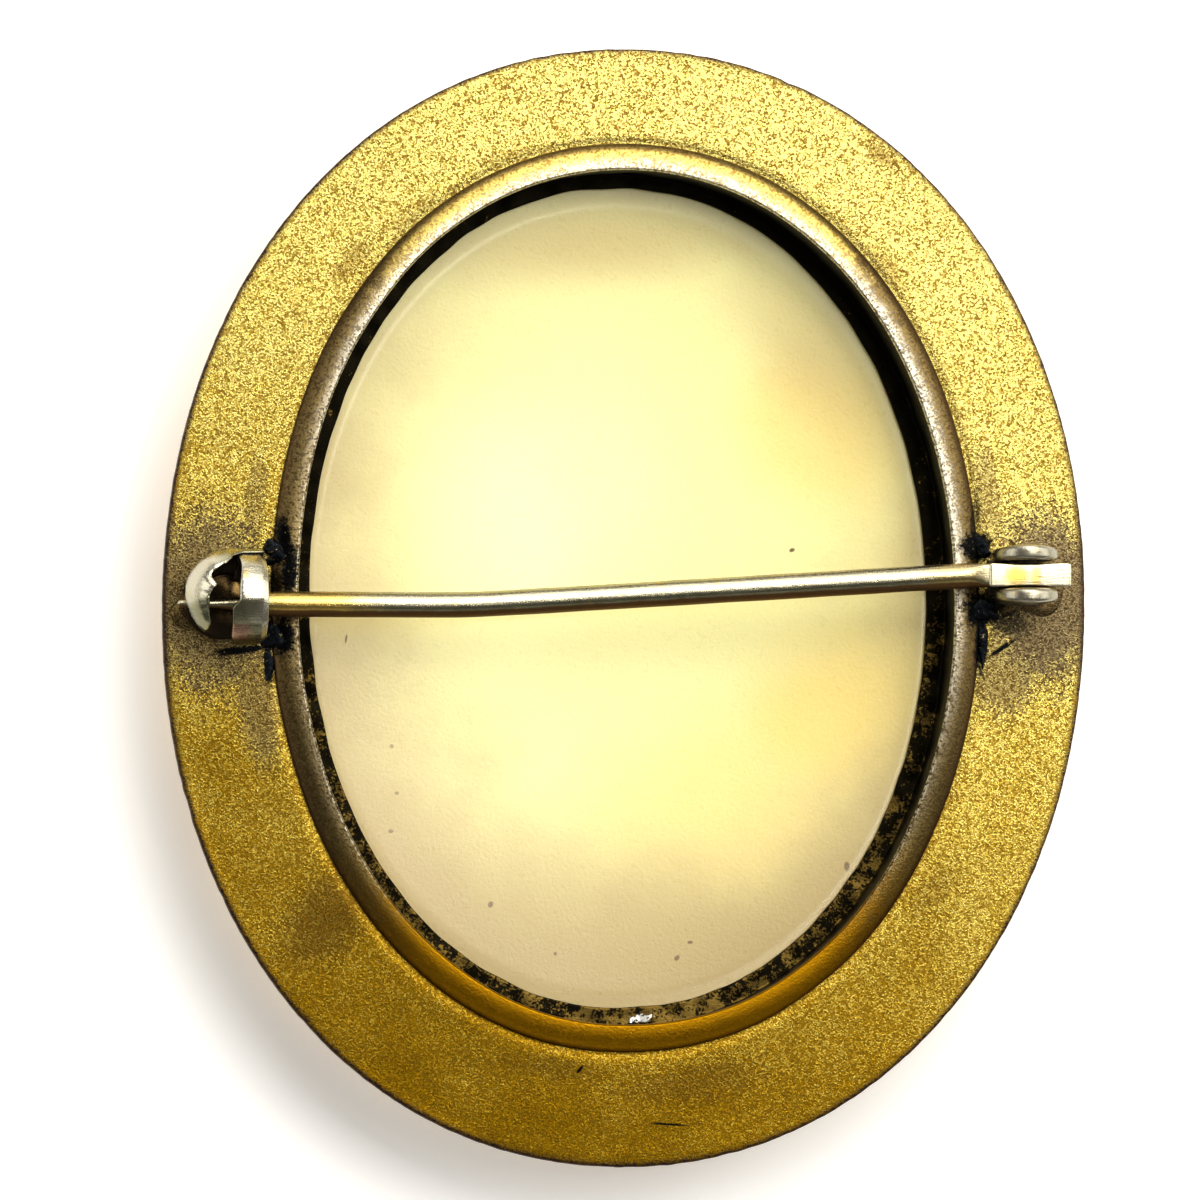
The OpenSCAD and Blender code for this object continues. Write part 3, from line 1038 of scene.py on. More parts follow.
@dataclass
class Collar:
    """The rounded collar, the well's wall, the ledge behind the shell and the lip before it."""

    turns: int = 640
    bead_w: float = 1.05
    bead_h: float = 0.44
    bead_r: float = 14.94
    bead_z: float = 5.97
    well_r: float = 14.78
    ledge_r: float = 13.94
    ledge_z: float = 3.6
    ledge_t: float = 0.3
    ledge_tall: float = 1.02
    ledge_up: float = 0.1
    pocket_r: float = 14.6
    lip_r: float = 13.9
    lip_z: float = 1.55
    lip_t: float = 0.45
    outer_r: float = 15.1

    def shape(self) -> Shape:
        """The closed ring, in the collar's family of ovals but for its outside.

        The rows go up outside, over the bead, down the well's wall and in over the ledge, then under
        it, down the pocket, in and out round the lip, and back out. The ledge's opening is a little
        taller and higher than the family's oval.

        Returns:
            Its surface, with its side radius as the mark "rim".
        """
        bead = arc((0, 0), 1.0, -12, 96, 30) * (self.bead_w, self.bead_h) + (self.bead_r, self.bead_z)
        top, well, ledge, pocket = self.ledge_z, self.well_r, self.ledge_r, self.pocket_r
        lip, lip_z, front_z = self.lip_r, self.lip_z, self.lip_z - self.lip_t
        rows = np.vstack([
            [(15.5, 2.3), (15.6, 5.5)],
            bead,
            [(14.84, 6.40), (14.81, 6.375), (14.79, 6.33), (14.782, 6.25)],
            np.linspace((well, 6.0), (well, top + 0.06), 18),
            [(well - 0.02, top + 0.015)],
            np.linspace((well - 0.06, top), (ledge + 0.05, top), 12),
            [(ledge + 0.01, top - 0.03), (ledge, top - 0.1), (ledge, top - 0.2)],
            [(ledge + 0.03, top - self.ledge_t), (pocket, top - self.ledge_t)],
            [(pocket, lip_z), (lip + 0.04, lip_z), (lip, lip_z - 0.04)],
            [(lip, lip_z - 0.15), (lip + 0.03, lip_z - 0.19)],
            np.linspace((pocket, front_z), (self.outer_r - 0.05, front_z), 3),
            [(self.outer_r, front_z + 0.05), (self.outer_r, 2.0)],
        ])
        radii, z = rows[:, 0], rows[:, 1]
        share = OVALS.crease_share * np.clip((radii - well) / (OVALS.crease_r - well), 0, 1)
        x, y = OVALS.rings(radii, share, self.turns)
        inward = (np.clip((well - radii) / (well - ledge), 0, 1) * (z > 3))[:, None]
        y = y * (1 + (self.ledge_tall - 1) * inward) + self.ledge_up * inward
        places = xyz(x, y, z[:, None])
        # Uneven by hand: the wall and the ledge, and the bead
        near_ledge = ((radii > 13.7) & (radii < 14.9) & (z > 3.2))[:, None]
        on_wall = near_ledge & (z < 5.5)[:, None]
        on_ledge = near_ledge & ((z > 3.5) & (z < 3.7))[:, None]
        on_bead = (z > 5.6)[:, None]
        push = on_wall * 0.02 * ripple(places, 1.8, 21) + on_bead * 0.012 * ripple(places, 5, 22)
        lift = on_ledge * 0.03 * ripple(places, 1.1, 23) + on_bead * 0.012 * ripple(places, 7, 24)
        grow = 1 + push / radii[:, None]
        return hoop(xyz(x * grow, y * grow, z[:, None] + lift), rim=radii[:, None])


@dataclass
class Mound:
    """A low irregular lump of solder on the flange.

    Args:
        x: Its middle.
        y: Its middle.
        wide: Half its width.
        high: Half its height on the flange.
        rise: How far it stands above the flange.
        seed: Starts its fixed random draw.
        turns: Points round it.
    """

    x: float
    y: float
    wide: float
    high: float
    rise: float
    seed: int
    turns: int = 72

    def shape(self) -> Shape:
        """The closed lump, as rings from the middle of its underside over its edge to its top.

        The outline is an oval whose reach varies by a fifth with a ripple. Its height is the rise
        times (1 - s*s) to the power 0.6, at share s of the reach, roughened by another ripple.

        Returns:
            Its surface.
        """
        a = angles(self.turns)
        reach = 1 + 0.22 * ripple(xyz(np.cos(a), np.sin(a), 0) * 1.5, 1.6, self.seed)
        shares = np.concatenate([np.linspace(0.03, 1, 10), np.linspace(0.99, 0.03, 20)])[:, None]
        x = self.x + self.wide * reach * np.cos(a) * shares
        y = self.y + self.high * reach * np.sin(a) * shares
        upper = (np.arange(30) >= 10)[:, None]
        rough = 1 + 0.3 * ripple(xyz(x, y, 0), 1.1, self.seed + 1)
        dome = (1 - shares**2) ** 0.6 * self.rise * rough
        z = OVALS.flange_at(x, y) - 0.1 + np.where(upper, 0.08 + dome, -0.25)
        return sheath(xyz(x, y, z), Cap.FAN)


@dataclass
class Frame:
    """The soldered frame: flange, border, collar, and the pads and lumps of solder on it."""

    flange: Flange = field(default_factory=Flange)
    border: Border = field(default_factory=Border)
    collar: Collar = field(default_factory=Collar)
    pads: tuple[Mound, ...] = (
        Mound(-18.2, 0.2, 2.0, 2.0, 0.2, 31),
        Mound(17.7, 1.2, 2.05, 1.9, 0.2, 41),
    )
    lumps: tuple[Mound, ...] = (
        Mound(-15.75, 2.45, 0.55, 0.55, 0.36, 33),
        Mound(-15.45, 1.35, 0.42, 0.8, 0.36, 34),
        Mound(-15.7, -1.3, 0.55, 0.7, 0.36, 35),
        Mound(15.95, 2.7, 0.55, 0.5, 0.38, 43),
        Mound(16.1, -0.1, 0.7, 0.62, 0.34, 45),
        Mound(16.1, -1.5, 0.24, 1.1, 0.16, 47),
        Mound(-16.1, -2.5, 0.2, 0.8, 0.14, 49),
    )

    def build(self) -> None:
        """Makes and dresses the frame's pieces."""
        gilt, solder = BloomedGilt().make(), BurntSolder().make()
        make_piece("flange", self.flange.shape(), gilt, FRAME)
        make_piece("border", self.border.shape(), FrontGilt().make(), FRAME)
        make_piece("collar", self.collar.shape(), CollarGilt().make(), FRAME)
        for name, finish, mounds in (("pad", gilt, self.pads), ("solder", solder, self.lumps)):
            for number, mound in enumerate(mounds, 1):
                make_piece(f"{name}_{number}", mound.shape(), finish, FRAME)


# ---------------------------------------------------------------- cameo


@dataclass(frozen=True)
class Spray:
    """The carved spray on the shell's front: a rose, two buds, leaves and a stem.

    The rose's rings of petals are rows of height, size, number of petals and turn. Buds are rows of
    X and Y, and leaves of X, Y, turn, half length and half width.
    """

    rose_r: float = 6.6
    rose: tuple[tuple[float, float, int, float], ...] = (
        (0.42, 1, 5, 0),
        (0.3, 0.66, 5, 40),
        (0.18, 0.4, 3, 10),
        (0.1, 0.2, 3, 70),
    )
    bud_r: float = 2.4
    buds: tuple[Pair, ...] = ((-6.2, -9.2), (5.6, -10.4))
    leaves: tuple[tuple[float, float, float, float, float], ...] = (
        (-7, 8.2, 128, 4, 1.7),
        (7, 8.2, 52, 4, 1.7),
        (0, 11.2, 90, 4, 1.7),
        (-9.6, 1.6, 172, 2.6, 1.5),
        (9.6, 1, 6, 2.6, 1.5),
        (-8.2, -4.6, 215, 2.6, 1.4),
        (8.4, -5.2, -38, 2.6, 1.4),
    )

    @staticmethod
    def petals(x: Array, y: Array, reach: float, count: int, turn: float) -> Array:
        """One ring of petals: a scalloped disc with a raised edge and a dished middle.

        The edge lies at reach * (0.84 + 0.16 |cos(count / 2 * angle + turn)|). The height eases up
        over 0.16 of the reach inside it, and falls by 0.4 over 0.45 of the reach. Fine veins run
        out from the middle.

        Args:
            x: Places, from the ring's middle.
            y: Places, from the ring's middle.
            reach: Outer radius.
            count: Number of petals.
            turn: Turn of the scallops, in degrees.

        Returns:
            Heights from 0 to 1.
        """
        way, off = np.arctan2(y, x), np.hypot(x, y)
        edge = reach * (0.84 + 0.16 * np.abs(np.cos(count / 2 * way + np.radians(turn))))
        inside = (edge - off) / reach
        veins = 0.04 * np.cos(14 * count * way) * ease(inside / 0.3) * ease(off / reach)
        return ease(inside / 0.16) * (1 - 0.4 * ease(inside / 0.45)) + veins

    @staticmethod
    def leaf(x: Array, y: Array, turn: float, length: float, width: float) -> Array:
        """A pointed leaf with a sunk midrib and side veins.

        Along and across are its own coordinates over its half length and half width, and inside is
        1 - along^2 - |across|. The height eases up with 1.8 * inside, and dips along the midrib.

        Args:
            x: Places, from the leaf's middle.
            y: Places, from the leaf's middle.
            turn: The way it points, in degrees.
            length: Half its length.
            width: Half its width.

        Returns:
            Heights from 0 to 1.
        """
        c, s = np.cos(np.radians(turn)), np.sin(np.radians(turn))
        along, across = (x * c + y * s) / length, np.abs(y * c - x * s) / width
        inside = 1 - along**2 - across
        veins = 0.05 * np.cos(22 * (along - 0.45 * across)) * ease(inside * 3)
        return ease(inside * 1.8) * (0.65 + 0.35 * ease(across * 5)) + veins

    def height(self, x: Array, y: Array) -> Array:
        """The relief at each place, as a share of its full height: the highest of its forms there."""
        rose = sum(
            share * self.petals(x, y, self.rose_r * size, count, turn)
            for share, size, count, turn in self.rose
        )
        off = np.abs(x - 0.9 * np.sin(np.radians(14 * y))) / 0.6
        forms = [rose, np.where((y < -3) & (y > -15.4), ease(1.4 - off) * 0.55, 0)]
        for bx, by in self.buds:
            outer = self.petals(x - bx, y - by, self.bud_r, 3, bx * 10)
            forms.append(0.7 * outer + 0.2 * self.petals(x - bx, y - by, self.bud_r / 2, 3, 30))
        for lx, ly, *form in self.leaves:
            forms.append(0.6 * self.leaf(x - lx, y - ly, *form))
        return np.max(forms, axis=0)


@dataclass
class Cameo:
    """The shell: hollow behind, domed and carved in front."""

    spray: Spray = field(default_factory=Spray)
    turns: int = 480
    back_z: float = 3.25
    front_z: float = 1.6
    dome: float = 0.8
    hollow: float = 0.7
    relief: float = 0.6
    margin: float = 0.94

    def shape(self) -> Shape:
        """The closed shell, as oval rings from the middle of the back over the rim to the front's.

        The hump, by which the back sinks and the front rises, is 1 in the middle and 0 at the
        margin: 1 - (share / margin) squared.

        Returns:
            Its surface, with the relief's height as the mark "relief".
        """
        back = np.concatenate([np.linspace(0.01, 0.9, 26), np.linspace(0.92, 0.995, 8), [1.0]])
        front = np.concatenate([[1.0], np.linspace(0.995, 0.01, 150)])
        shares = np.concatenate([back, front])
        x, y = OVALS.rings(SHELL_R * shares, 0 * shares, self.turns)
        shares = shares[:, None]
        places = xyz(x, y, 0)
        hump = 1 - np.minimum(shares / self.margin, 1) ** 2
        carved = self.spray.height(x, y) * ease(hump * 6)
        behind = (np.arange(len(shares)) < len(back))[:, None]
        wall = np.where(shares >= 1, 0.06, 0.0)
        z_back = self.back_z - self.hollow * hump + 0.012 * hump * ripple(places, 8, 51) - wall
        tooling = 0.012 * ripple(places, 1.3, 52) * (1 - ease(carved * 4)) * ease(hump * 6)
        z_front = self.front_z - self.dome * hump - self.relief * carved + tooling + wall
        rings = xyz(x, y, np.where(behind, z_back, z_front))
        return sheath(rings, Cap.FAN, relief=np.where(behind, 0, carved))

    def build(self) -> None:
        """Makes and dresses the shell."""
        make_piece("cameo_shell", self.shape(), CarvedShell().make(), CAMEO)


# ---------------------------------------------------------------- catch


@dataclass
class Catch:
    """The catch: a worn barrel with a band over the pin, a thin bent cap at its far end, and a foot.

    The cap's torn edge is given as rows of the angle round the end, in degrees, and the width of
    the crescent seen from above. The band's hammered facets are rows of where each faces, in
    degrees from straight up towards the mouth, and how far it lies from the axis.
    """

    x: float = -18.05
    y: float = 0.26
    z: float = 8.0
    radius: float = 2.05
    inner: float = 1.63
    cap_t: float = 0.3
    cap_rise: float = 0.2
    left: float = -17.72
    right: float = -16.5
    foot_r: float = 1.8
    foot_z: float = 6.03
    foot_t: float = 0.35
    foot_round: float = 0.16
    foot_off: float = 0.1
    torn: tuple[Pair, ...] = (
        (-56, 0.20), (-50, 0.36), (-40, 0.52), (-21, 0.76), (-6, 0.84), (7, 0.94),
        (20, 1.08), (29, 1.02), (36, 0.72), (42, 0.60), (55, 0.60), (75, 0.56),
        (88, 0.36), (91, 0.15), (93, 0.04), (110, 0.03),
    )
    facets: tuple[Pair, ...] = (
        (-75, 2.03), (-38, 2.02), (-12, 2.0), (18, 1.97),
        (50, 1.98), (80, 2.02), (-115, 2.04), (-150, 2.04),
    )

    def cap_shape(self) -> Shape:
        """The thin cap with the low wall behind it.

        A path goes round the end from the mouth, then straight towards the band. At each step the
        section runs up the barrel's radius between two heights, and back down its thickness inside.

        Returns:
            Its surface, with the marks "shade", for the dark inside, and "tone".
        """
        turns, steps, climbs = 88, 14, 22
        turn = np.radians(np.append(np.linspace(-55, 90, turns), np.full(steps, 90.0)))
        straight = np.linspace(0.08, self.right - self.x - 0.06, steps)
        along = np.concatenate([np.zeros(turns), straight])
        degrees = np.degrees(turn) + along * 6
        knots = np.array(self.torn)
        ragged = 0.012 * ripple(xyz(degrees / 12, 0, 0), 1.0, 61)
        width = np.interp(degrees, knots[:, 0], knots[:, 1]) + ragged * (degrees > -45)
        low = np.radians(-5.6 - 52 * ease((degrees - 7) / 7))
        high = np.maximum(np.arccos(np.clip(1 - width / self.radius, -1, 1)), low + 0.04)
        rise = np.linspace(0, 1, climbs)
        lift = low[:, None] + (high - low)[:, None] * rise
        slim = 0.35 + 0.65 * np.sin(np.pi * rise) ** 0.5
        thick = self.cap_t * (0.55 + 0.45 * ease((1 - rise) * 4)) * slim
        mid = self.radius - self.cap_t * 0.5
        dents = 0.04 * ripple(xyz(lift * 2, degrees[:, None] / 25, 0), 1.0, 62)
        outer = np.minimum(mid + thick / 2 + 0.02, self.radius) + np.minimum(dents, 0)
        inner = np.broadcast_to((mid - thick / 2)[::-1], outer.shape)
        reach = np.concatenate([outer, inner], 1)
        angle = np.concatenate([lift, lift[:, ::-1]], 1)
        flat = reach * np.cos(angle)
        x = self.x + along[:, None] - flat * np.cos(turn)[:, None]
        y = self.y + self.cap_rise + flat * np.sin(turn)[:, None]
        z = self.z + reach * np.sin(angle)
        shade = 0.95 * (np.arange(2 * climbs) >= climbs)
        tone = 0.45 * ease((20 - degrees) / 50) + 0.3 * ease((degrees - 50) / 30)
        return sheath(xyz(x, y, z), Cap.LADDER, shade=shade, tone=tone[:, None])

    def band_shape(self) -> Shape:
        """The band over the pin: a rounded section carried round the barrel's axis.

        The outside is hammered: its radius is the softened least of d / cos(a - f) over the facets
        f, d. The band is wider towards the mouth, where its far side steps out, and its near edge is
        bevelled.

        Returns:
            Its surface, with the marks "shade", for the dark inside, and "tone".
        """
        turn = np.radians(np.linspace(-150, 96, 120))
        degrees = np.degrees(turn)
        curve = xyz(turn * 2, 0, 0)
        facets = np.array(self.facets)
        facing = np.cos(turn - np.radians(facets[:, :1]))
        flats = np.where(facing > 0.3, facets[:, 1:] / np.maximum(facing, 0.3), 9.0)
        sharp = 22
        outer = -np.log(np.exp(-sharp * flats).sum(0)) / sharp + 0.015
        outer = np.minimum(outer + 0.015 * ripple(curve, 0.9, 65), self.radius)
        step = 0.32 * ease((degrees - 1) / 14)
        left = self.left - 0.1 * ease((degrees + 60) / 60) - step + 0.14 * ease((degrees - 55) / 30)
        left = (left + 0.03 * ripple(curve, 1.3, 64))[:, None]
        right = (self.right - 0.05 - 0.10 * ease((degrees - 70) / 25))[:, None]
        across, depth = (rounded_section((0.5, 0.5), 0.2, 7) + 0.5).T
        bevel = 0.32 * ease((across - 0.74) / 0.26) * depth
        ends = np.minimum(np.arange(120), np.arange(120)[::-1])[:, None]
        thick = (outer - self.inner)[:, None] * np.sqrt(np.clip((ends + 0.6) / 4, 0, 1))
        reach = (outer + self.inner)[:, None] / 2 + thick * (depth - bevel - 0.5)
        x = left + (right - left) * across
        y = self.y - reach * np.sin(turn)[:, None]
        z = self.z + reach * np.cos(turn)[:, None]
        tone = 0.5 * ease((degrees + 2) / 8) + 0.5 * ease((degrees - 33) / 6)
        tone = (tone - 0.45 * ease((degrees - 62) / 8))[:, None] * (1 - 0.8 * ease((across - 0.7) / 0.15))
        return sheath(xyz(x, y, z), Cap.LADDER, shade=ease((0.45 - depth) / 0.3), tone=tone)

    def foot_shape(self) -> Shape:
        """The round foot: rings that go up, over a rounded edge and in along its uneven top.

        Returns:
            Its surface, with the marks "shade", dark all over, and "tone".
        """
        top, bottom, curl = self.foot_z + self.foot_t - 0.05, self.foot_z - 0.1, self.foot_round
        rows = np.vstack([
            [(0.02, bottom), (1.0, bottom), (self.foot_r, bottom)],
            arc((self.foot_r - curl, top - curl), curl, 0, 90, 6),
            np.linspace((self.foot_r - 0.4, top), (0.02, top), 8),
        ])
        a = angles(64)
        x = self.x - self.foot_off + rows[:, :1] * np.cos(a)
        y = self.y + self.foot_off + rows[:, :1] * np.sin(a)
        bumpy = ripple(xyz(x, y, 0), 1.4, 63)
        z = rows[:, 1:] + 0.05 * bumpy * (rows[:, 1:] > self.foot_z)
        return sheath(xyz(x, y, z), Cap.FAN, shade=0.75 - 0.4 * bumpy, tone=np.ones(1))

    def build(self) -> None:
        """Makes and dresses the catch."""
        metal = FindingsMetal("catch_brass").make()
        # Painted shade: a darker copy of the brass for the foot, under the barrel
        brown = FindingsMetal(
            "foot_brass_painted_shade",
            silver=(0.20, 0.14, 0.05),
            gold=(0.34, 0.23, 0.06),
            green=(0.10, 0.08, 0.04),
            pink=(0.13, 0.085, 0.035),
        ).make()
        make_piece("catch_cap", self.cap_shape(), metal, CATCH)
        make_piece("catch_band", self.band_shape(), metal, CATCH)
        make_piece("catch_foot", self.foot_shape(), brown, CATCH)


# ---------------------------------------------------------------- hinge and pin


def box_reach(a: Array, wide: Array | float, high: float) -> Array:
    """Distance to a box's outline from its middle.

    Args:
        a: The angle to each point of it.
        wide: Half its width.
        high: Half its height.

    Returns:
        One distance for each angle.
    """
    to_side = wide / np.maximum(np.abs(np.cos(a)), 1e-6)
    return np.minimum(to_side, high / np.maximum(np.abs(np.sin(a)), 1e-6))


@dataclass(frozen=True)
class HoledPlate:
    """A flat plate with a round hole, standing across Y.

    Args:
        x: The hole's middle.
        z: The hole's middle.
        hole: The hole's radius.
        near: Y of the face that stays flat.
        side: 1 or -1, the way that the thickness goes from there.
        thick: Its thickness at the middle.
        thin: Share of the thickness that is lost towards its two ends.
        bevel: Radius of its rounded edges.
    """

    x: float
    z: float
    hole: float
    near: float
    side: int
    thick: float
    thin: float
    bevel: float

    def shape(self, reach: Array, shade: float = 0.0) -> Shape:
        """The closed plate.

        The section runs from the hole out along the flat face, over the rounded edge and back along
        the far face. Its reach at each angle is the outline's distance from the hole's middle.

        Args:
            reach: The outline's distance at evenly spaced angles.
            shade: How dark the faces and the hole are, from 0 to 1.

        Returns:
            Its surface, with the marks "shade" and "tone".
        """
        curl, flat = np.radians(np.linspace(0, 90, 6)), np.zeros(6)
        spread = np.linspace(0, 1, 7)
        out = np.concatenate([spread[:-1], np.ones(12), spread[::-1][1:]])[:, None]
        bulge = np.concatenate([flat, np.sin(curl), np.sin(curl[::-1]), flat])[:, None]
        lift = np.concatenate([flat, 1 - np.cos(curl), 1 - np.cos(curl[::-1]), flat])[:, None]
        far = (np.arange(24) >= 12)[:, None]
        a = angles(len(reach))
        rho = self.hole + (reach - self.bevel - self.hole) * out + self.bevel * bulge
        x, z = self.x + rho * np.cos(a), self.z + rho * np.sin(a)
        loss = self.thin * np.clip(np.abs(x - self.x) / reach.max(), 0, 1) ** 2
        depth = np.where(far, self.thick * (1 - loss) - self.bevel * lift, self.bevel * lift)
        dark = np.where(far | (out > 0.9), 0.0, shade)
        # Painted shade: the tone turns grey green towards the ends of a shaded plate
        tone = 0.5 * ease((np.abs(x - self.x - 0.15) / reach.max() - 0.45) / 0.4) * (shade > 0)
        return hoop(xyz(x, self.near + self.side * depth, z), shade=dark, tone=tone)


@dataclass
class Hinge:
    """The hinge: two round ears on feet, the strip that joins them, and the rivet."""

    x: float = 17.8
    y: float = 1.3
    z: float = 7.83
    ear_r: float = 1.42
    ear_t: float = 0.68
    ear_low: float = 0.1
    slot: float = 1.36
    hole: float = 0.48
    foot_half: float = 1.2
    drop: float = 1.8
    rivet_r: float = 0.45

    def ear_reach(self) -> Array:
        """The ear's outline: the farther of the disc and the foot's box, from the hole's middle."""
        a = angles(160)
        foot = box_reach(a, self.foot_half, self.drop)
        return np.where(np.sin(a) < 0, np.maximum(self.ear_r, foot), self.ear_r)

    def rivet_shape(self) -> Shape:
        """The rivet: a round body along Y with low spread heads.

        Returns:
            Its surface, with the mark "shade" between the heads.
        """
        half, r = self.slot / 2 + self.ear_t, self.rivet_r
        head = [(0.02, 0.05), (0.3, 0.045), (0.5, 0.02), (0.6, -0.02), (r + 0.02, -0.19), (r, -0.3)]
        side = np.array(head) + (0, half)
        rows = np.vstack([side, side[::-1] * (1, -1) + (0, 0.1)])
        a = angles(48)
        x, z = self.x + rows[:, :1] * np.cos(a), self.z + rows[:, :1] * np.sin(a)
        y = self.y + rows[:, 1:]
        shade = np.where(np.abs(y - self.y) < half - 0.1, 1.0, 0.0)
        return sheath(xyz(x, y, z), Cap.FAN, shade=shade)

    def strip_shape(self) -> Shape:
        """The strip under the pin's side, a rounded section carried along Y.

        Returns:
            Its surface, with the mark "shade".
        """
        across, up = rounded_section((0.5, 0.19), 0.08).T
        half = self.slot / 2 + 0.1
        y = np.linspace(self.y - half, self.y + half, 12)[:, None]
        rings = xyz(self.x - 1.0 + across, y, self.z - self.drop + 0.18 + up)
        return sheath(rings, Cap.LADDER, shade=np.ones(1))

    def build(self) -> None:
        """Makes and dresses the hinge."""
        brass = FindingsMetal("hinge_brass", silver=(0.40, 0.37, 0.28), green=(0.11, 0.10, 0.06), polish=0.3)
        metal = brass.make()
        for name, side, off in (("ear_upper", 1, 0.0), ("ear_lower", -1, self.ear_low)):
            near = self.y + side * self.slot / 2 + off
            plate = HoledPlate(self.x, self.z, self.hole, near, side, self.ear_t, 0.5, 0.2)
            make_piece(name, plate.shape(self.ear_reach(), 0.8), metal, BRACKET)
        make_piece("hinge_strip", self.strip_shape(), metal, BRACKET)
        make_piece("rivet", self.rivet_shape(), metal, RIVET)


PIN_GILDING = (
    Mark(-14.6, 0, 2.6, 2),
    Mark(17.3, 1.3, 0.5, 0.42),
    Mark(18.15, 1.3, 0.22, 0.42, 0, 0.8),
    Mark(14.6, 1.2, 1.2, 0.9, 0, 0.5),
)


@dataclass
class Pin:
    """The pin: wire with a soft bend and a drawn point, and the flat tab that turns on the rivet.

    The wire's thickness is given as rows of X and radius.
    """

    x: float = 17.8
    z: float = 7.83
    slope: float = 0.02157
    right_slope: float = 0.0586
    left_slope: float = -0.0083
    bend_x: float = -7.3
    bend_y: float = 0.05
    bend_soft: float = 1.2
    tip_x: float = -20.3
    tip_r: float = 0.15
    square_x: float = 15.1
    thickness: tuple[Pair, ...] = (
        (-20.15, 0.15), (-18.6, 0.19), (-18.1, 0.24), (-17.2, 0.38),
        (-16.3, 0.52), (-15.6, 0.57), (14.6, 0.565), (17, 0.545),
    )
    tab_y: float = 1.33
    tab_t: float = 1.02
    tab_half: float = 0.62
    tab_front: float = 1.75
    tab_tail: float = 1.95
    heel_r: float = 1.65
    hole: float = 0.51

    def middle(self, x: Array) -> tuple[Array, Array]:
        """Y and Z of the wire's middle.

        Y is a softened pair of lines: with d the distance from the bend and w how soft it is, it is
        a * d plus b * (hypot(d, w) - w), a and b being half the sum and half the difference of the
        slopes. Z falls evenly from the rivet.

        Args:
            x: Places along the wire.

        Returns:
            Y and Z.
        """
        right, left, soft = self.right_slope, self.left_slope, self.bend_soft
        off = x - self.bend_x
        y = self.bend_y + (right + left) / 2 * off + (right - left) / 2 * (np.hypot(off, soft) - soft)
        return y, self.z - (self.x - x) * self.slope

    def wire_shape(self) -> Shape:
        """The wire: a round section that tapers to the point, and squares up where it joins the tab.

        Returns:
            Its surface, with the marks "shade", along its sides, and "tone".
        """
        point = np.linspace(0.1, np.pi / 2, 7)
        tip = self.tip_x + self.tip_r * (1 - np.cos(point))
        spans = ((-20.05, -15.4, 60), (-15.2, 14.9, 170), (15.0, 16.6, 18))
        x = np.concatenate([tip, *(np.linspace(*span) for span in spans)])
        knots = np.array(self.thickness)
        radius = np.interp(x, knots[:, 0], knots[:, 1])
        radius[:7] = self.tip_r * np.sin(point)
        y0, z0 = self.middle(x)
        reach = (radius * (1 + 0.012 * ripple(xyz(x, y0, z0), 3.5, 71)))[:, None]
        a = angles(36)
        join = ease((x - self.square_x) / 0.9)
        square = join[:, None]
        power = 1 - 0.72 * square
        y = (y0 + join * (self.tab_y - y0))[:, None]
        y = y + squared(np.cos(a), power) * reach * (1 - 0.06 * square)
        z = z0[:, None] + squared(np.sin(a), power) * reach * (1 + 0.1 * square)
        # Partly patina and partly painted shade: the mark "shade" darkens the lower flank and the side
        # towards +Y, and the tone turns grey green below the middle
        low = ease((-np.cos(a) - 0.30) / 0.4) + 0.5 * ease((np.cos(a) - 0.86) / 0.1)
        tone = 0.5 * ease((0.1 - np.cos(a)) / 0.5)
        return sheath(xyz(x[:, None], y, z), Cap.FAN, shade=low, tone=tone)

    def tab_reach(self) -> Array:
        """The tab's outline: the nearer of its box and, past the rivet, its heel's circle."""
        a = angles(240)
        c, s = np.cos(a), np.sin(a)
        box = box_reach(a, np.where(c > 0, self.tab_tail, self.tab_front), self.tab_half)
        hx, hz = self.tab_tail - self.heel_r, self.tab_half
        along = c * hx + s * hz
        circle = along + np.sqrt(np.maximum(along**2 - hx**2 - hz**2 + self.heel_r**2, 0))
        return np.where((c > 0) & (circle * c > hx), np.minimum(box, circle), box)

    def build(self) -> None:
        """Makes and dresses the pin."""
        wire = FindingsMetal(
            "pin_brass",
            silver=(0.50, 0.46, 0.33),
            grime_and_shade=(0.15, 0.08, 0.03),
            polish=0.28,
            gilding=PIN_GILDING,
        )
        tab = FindingsMetal(
            "tab_brass",
            silver=(0.67, 0.62, 0.46),
            gold=(0.78, 0.52, 0.08),
            polish=0.3,
            gilding=PIN_GILDING,
        )
        make_piece("pin_wire", self.wire_shape(), wire.make(), PIN)
        near = self.tab_y - self.tab_t / 2
        plate = HoledPlate(self.x, self.z, self.hole, near, 1, self.tab_t, 0.0, 0.09)
        make_piece("pin_tab", plate.shape(self.tab_reach()), tab.make(), PIN)


# ---------------------------------------------------------------- studio


@dataclass(frozen=True)
class Softbox:
    """A rectangular light that looks at the brooch.

    Args:
        name: Its name.
        toward: The way to it from the brooch.
        distance: How far away it is, in metres.
        size: Its width and height, in metres.
        radiance: How bright it looks.
        colour: Its colour.
    """

    name: str
    toward: tuple[float, float, float]
    distance: float
    size: Pair
    radiance: float
    colour: Colour = (1.0, 1.0, 1.0)

    def build(self) -> None:
        """Hangs the light. Its power is pi times its area times its radiance."""
        light = bpy.data.lights.new(self.name, "AREA")
        light.shape = "RECTANGLE"
        light.size, light.size_y = self.size
        light.energy = np.pi * self.size[0] * self.size[1] * self.radiance
        light.color = self.colour
        holder = bpy.data.objects.new(self.name, light)
        way = Vector(self.toward).normalized()
        holder.location = way * self.distance
        holder.rotation_euler = way.to_track_quat("Z", "Y").to_euler()
        bpy.context.scene.collection.objects.link(holder)


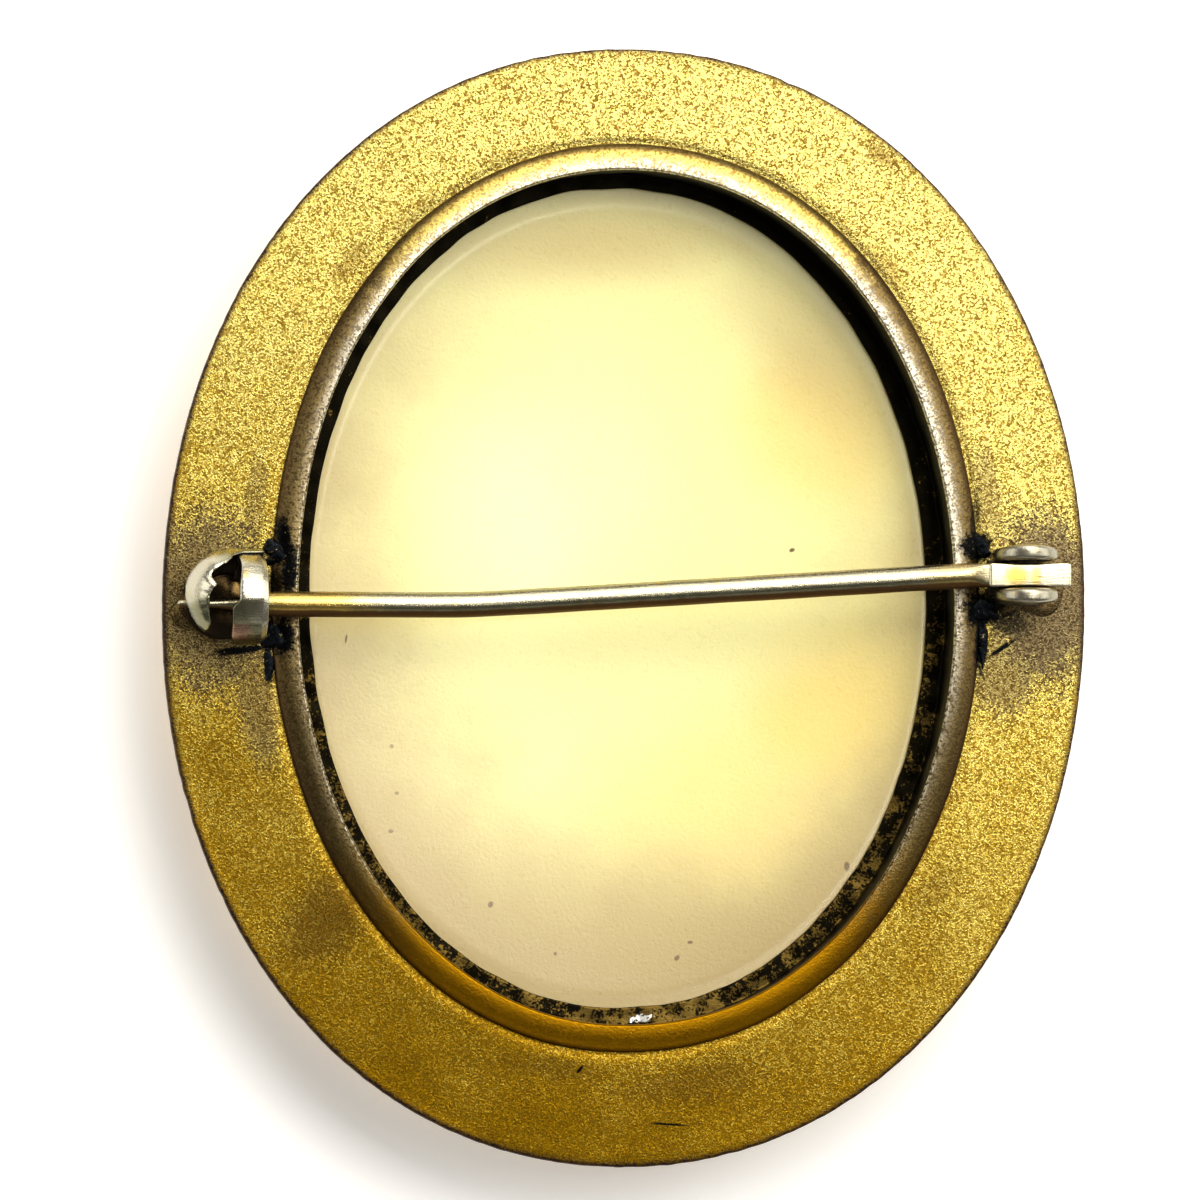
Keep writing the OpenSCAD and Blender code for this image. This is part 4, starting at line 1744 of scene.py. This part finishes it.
@dataclass(frozen=True)
class Studio:
    """The pale floor, the soft lights and the camera.

    The camera's look_at, distance and picture, the width that it takes in, are in millimetres, and
    the floor's half is in metres.
    """

    softboxes: tuple[Softbox, ...] = (
        Softbox("key", (0.27, 0.44, 1.0), 0.7, (0.64, 0.38), 5.2, (1.0, 0.99, 0.96)),
        Softbox("window", (0.1, 1.0, 0.6), 0.8, (0.9, 0.5), 2.4, (1.0, 0.99, 0.97)),
        Softbox("left_card", (-1.0, 0.2, 0.5), 0.8, (0.7, 0.5), 1.8),
        Softbox("right_card", (1.0, 0.2, 0.5), 0.8, (0.7, 0.5), 2.2),
        Softbox("front_card", (0.0, -1.0, 0.6), 0.8, (0.9, 0.4), 0.5),
        Softbox("ceiling", (0.19, 0.02, 1.0), 0.9, (0.03, 0.08), 30.0, (1.0, 0.98, 0.94)),
    )
    sky: float = 0.2
    sky_colour: Colour = (1.0, 0.99, 0.97)
    floor_glow: float = 0.3
    floor_half: float = 1.5
    look_at: tuple[float, float, float] = (-1.13, 0.33, 5.65)
    looking: tuple[float, float, float] = (0.14, 0.045, -1.0)
    distance: float = 1000.0
    picture: float = 53.6
    sensor: float = 36.0

    def build(self) -> None:
        """Builds floor, lights and camera."""
        scene = bpy.context.scene
        scene.view_settings.view_transform = "Standard"
        scene.view_settings.gamma = 0.85
        world = bpy.data.worlds.new("studio")
        world.use_nodes = True
        background = world.node_tree.nodes["Background"]
        background.inputs["Strength"].default_value = self.sky
        background.inputs["Color"].default_value = (*self.sky_colour, 1)
        scene.world = world
        for softbox in self.softboxes:
            softbox.build()
        self.lay_floor()
        self.place_camera()

    def lay_floor(self) -> None:
        """Lays a plain pale floor at the resting plane."""
        paint = Paint("pale_floor")
        tone = paint.mix(paint.noise(0.02, 3, 0.5), (0.90, 0.89, 0.86), (0.93, 0.92, 0.90))
        finish = paint.finish(
            Base_Color=tone, Roughness=0.6, Emission_Color=tone, Emission_Strength=self.floor_glow
        )
        side = self.floor_half
        edges = [(-side, -side, 0), (side, -side, 0), (side, side, 0), (-side, side, 0)]
        mesh = bpy.data.meshes.new("floor")
        mesh.from_pydata(edges, [], [(0, 1, 2, 3)])
        mesh.materials.append(finish)
        floor = bpy.data.objects.new("floor", mesh)
        bpy.context.scene.collection.objects.link(floor)

    def place_camera(self) -> None:
        """Places the camera: it looks almost straight down, with the picture's top along Y."""
        back = -Vector(self.looking).normalized()
        up = back.cross(Vector((1, 0, 0))).normalized()
        right = up.cross(back)
        camera = bpy.data.cameras.new("camera")
        camera.sensor_width = self.sensor
        camera.lens = self.sensor * self.distance / self.picture
        camera.clip_start = 0.01
        holder = bpy.data.objects.new("camera", camera)
        turn = Matrix((right, up, back)).transposed().to_4x4()
        place = (Vector(self.look_at) + back * self.distance) * MM
        holder.matrix_world = Matrix.Translation(place) @ turn
        bpy.context.scene.collection.objects.link(holder)
        bpy.context.scene.camera = holder


def corners(box: tuple[Vector, Vector]) -> list[list[float]]:
    """A box as plain lists of numbers."""
    return [list(corner) for corner in box]


def main() -> None:
    """Builds the brooch's looks around its frame, and the studio."""
    logging.basicConfig(level=logging.INFO, format="%(name)s: %(message)s")
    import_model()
    for part in (Studio(), Frame(), Cameo(), Catch(), Hinge(), Pin()):
        part.build()


if __name__ == "__main__":
    main()
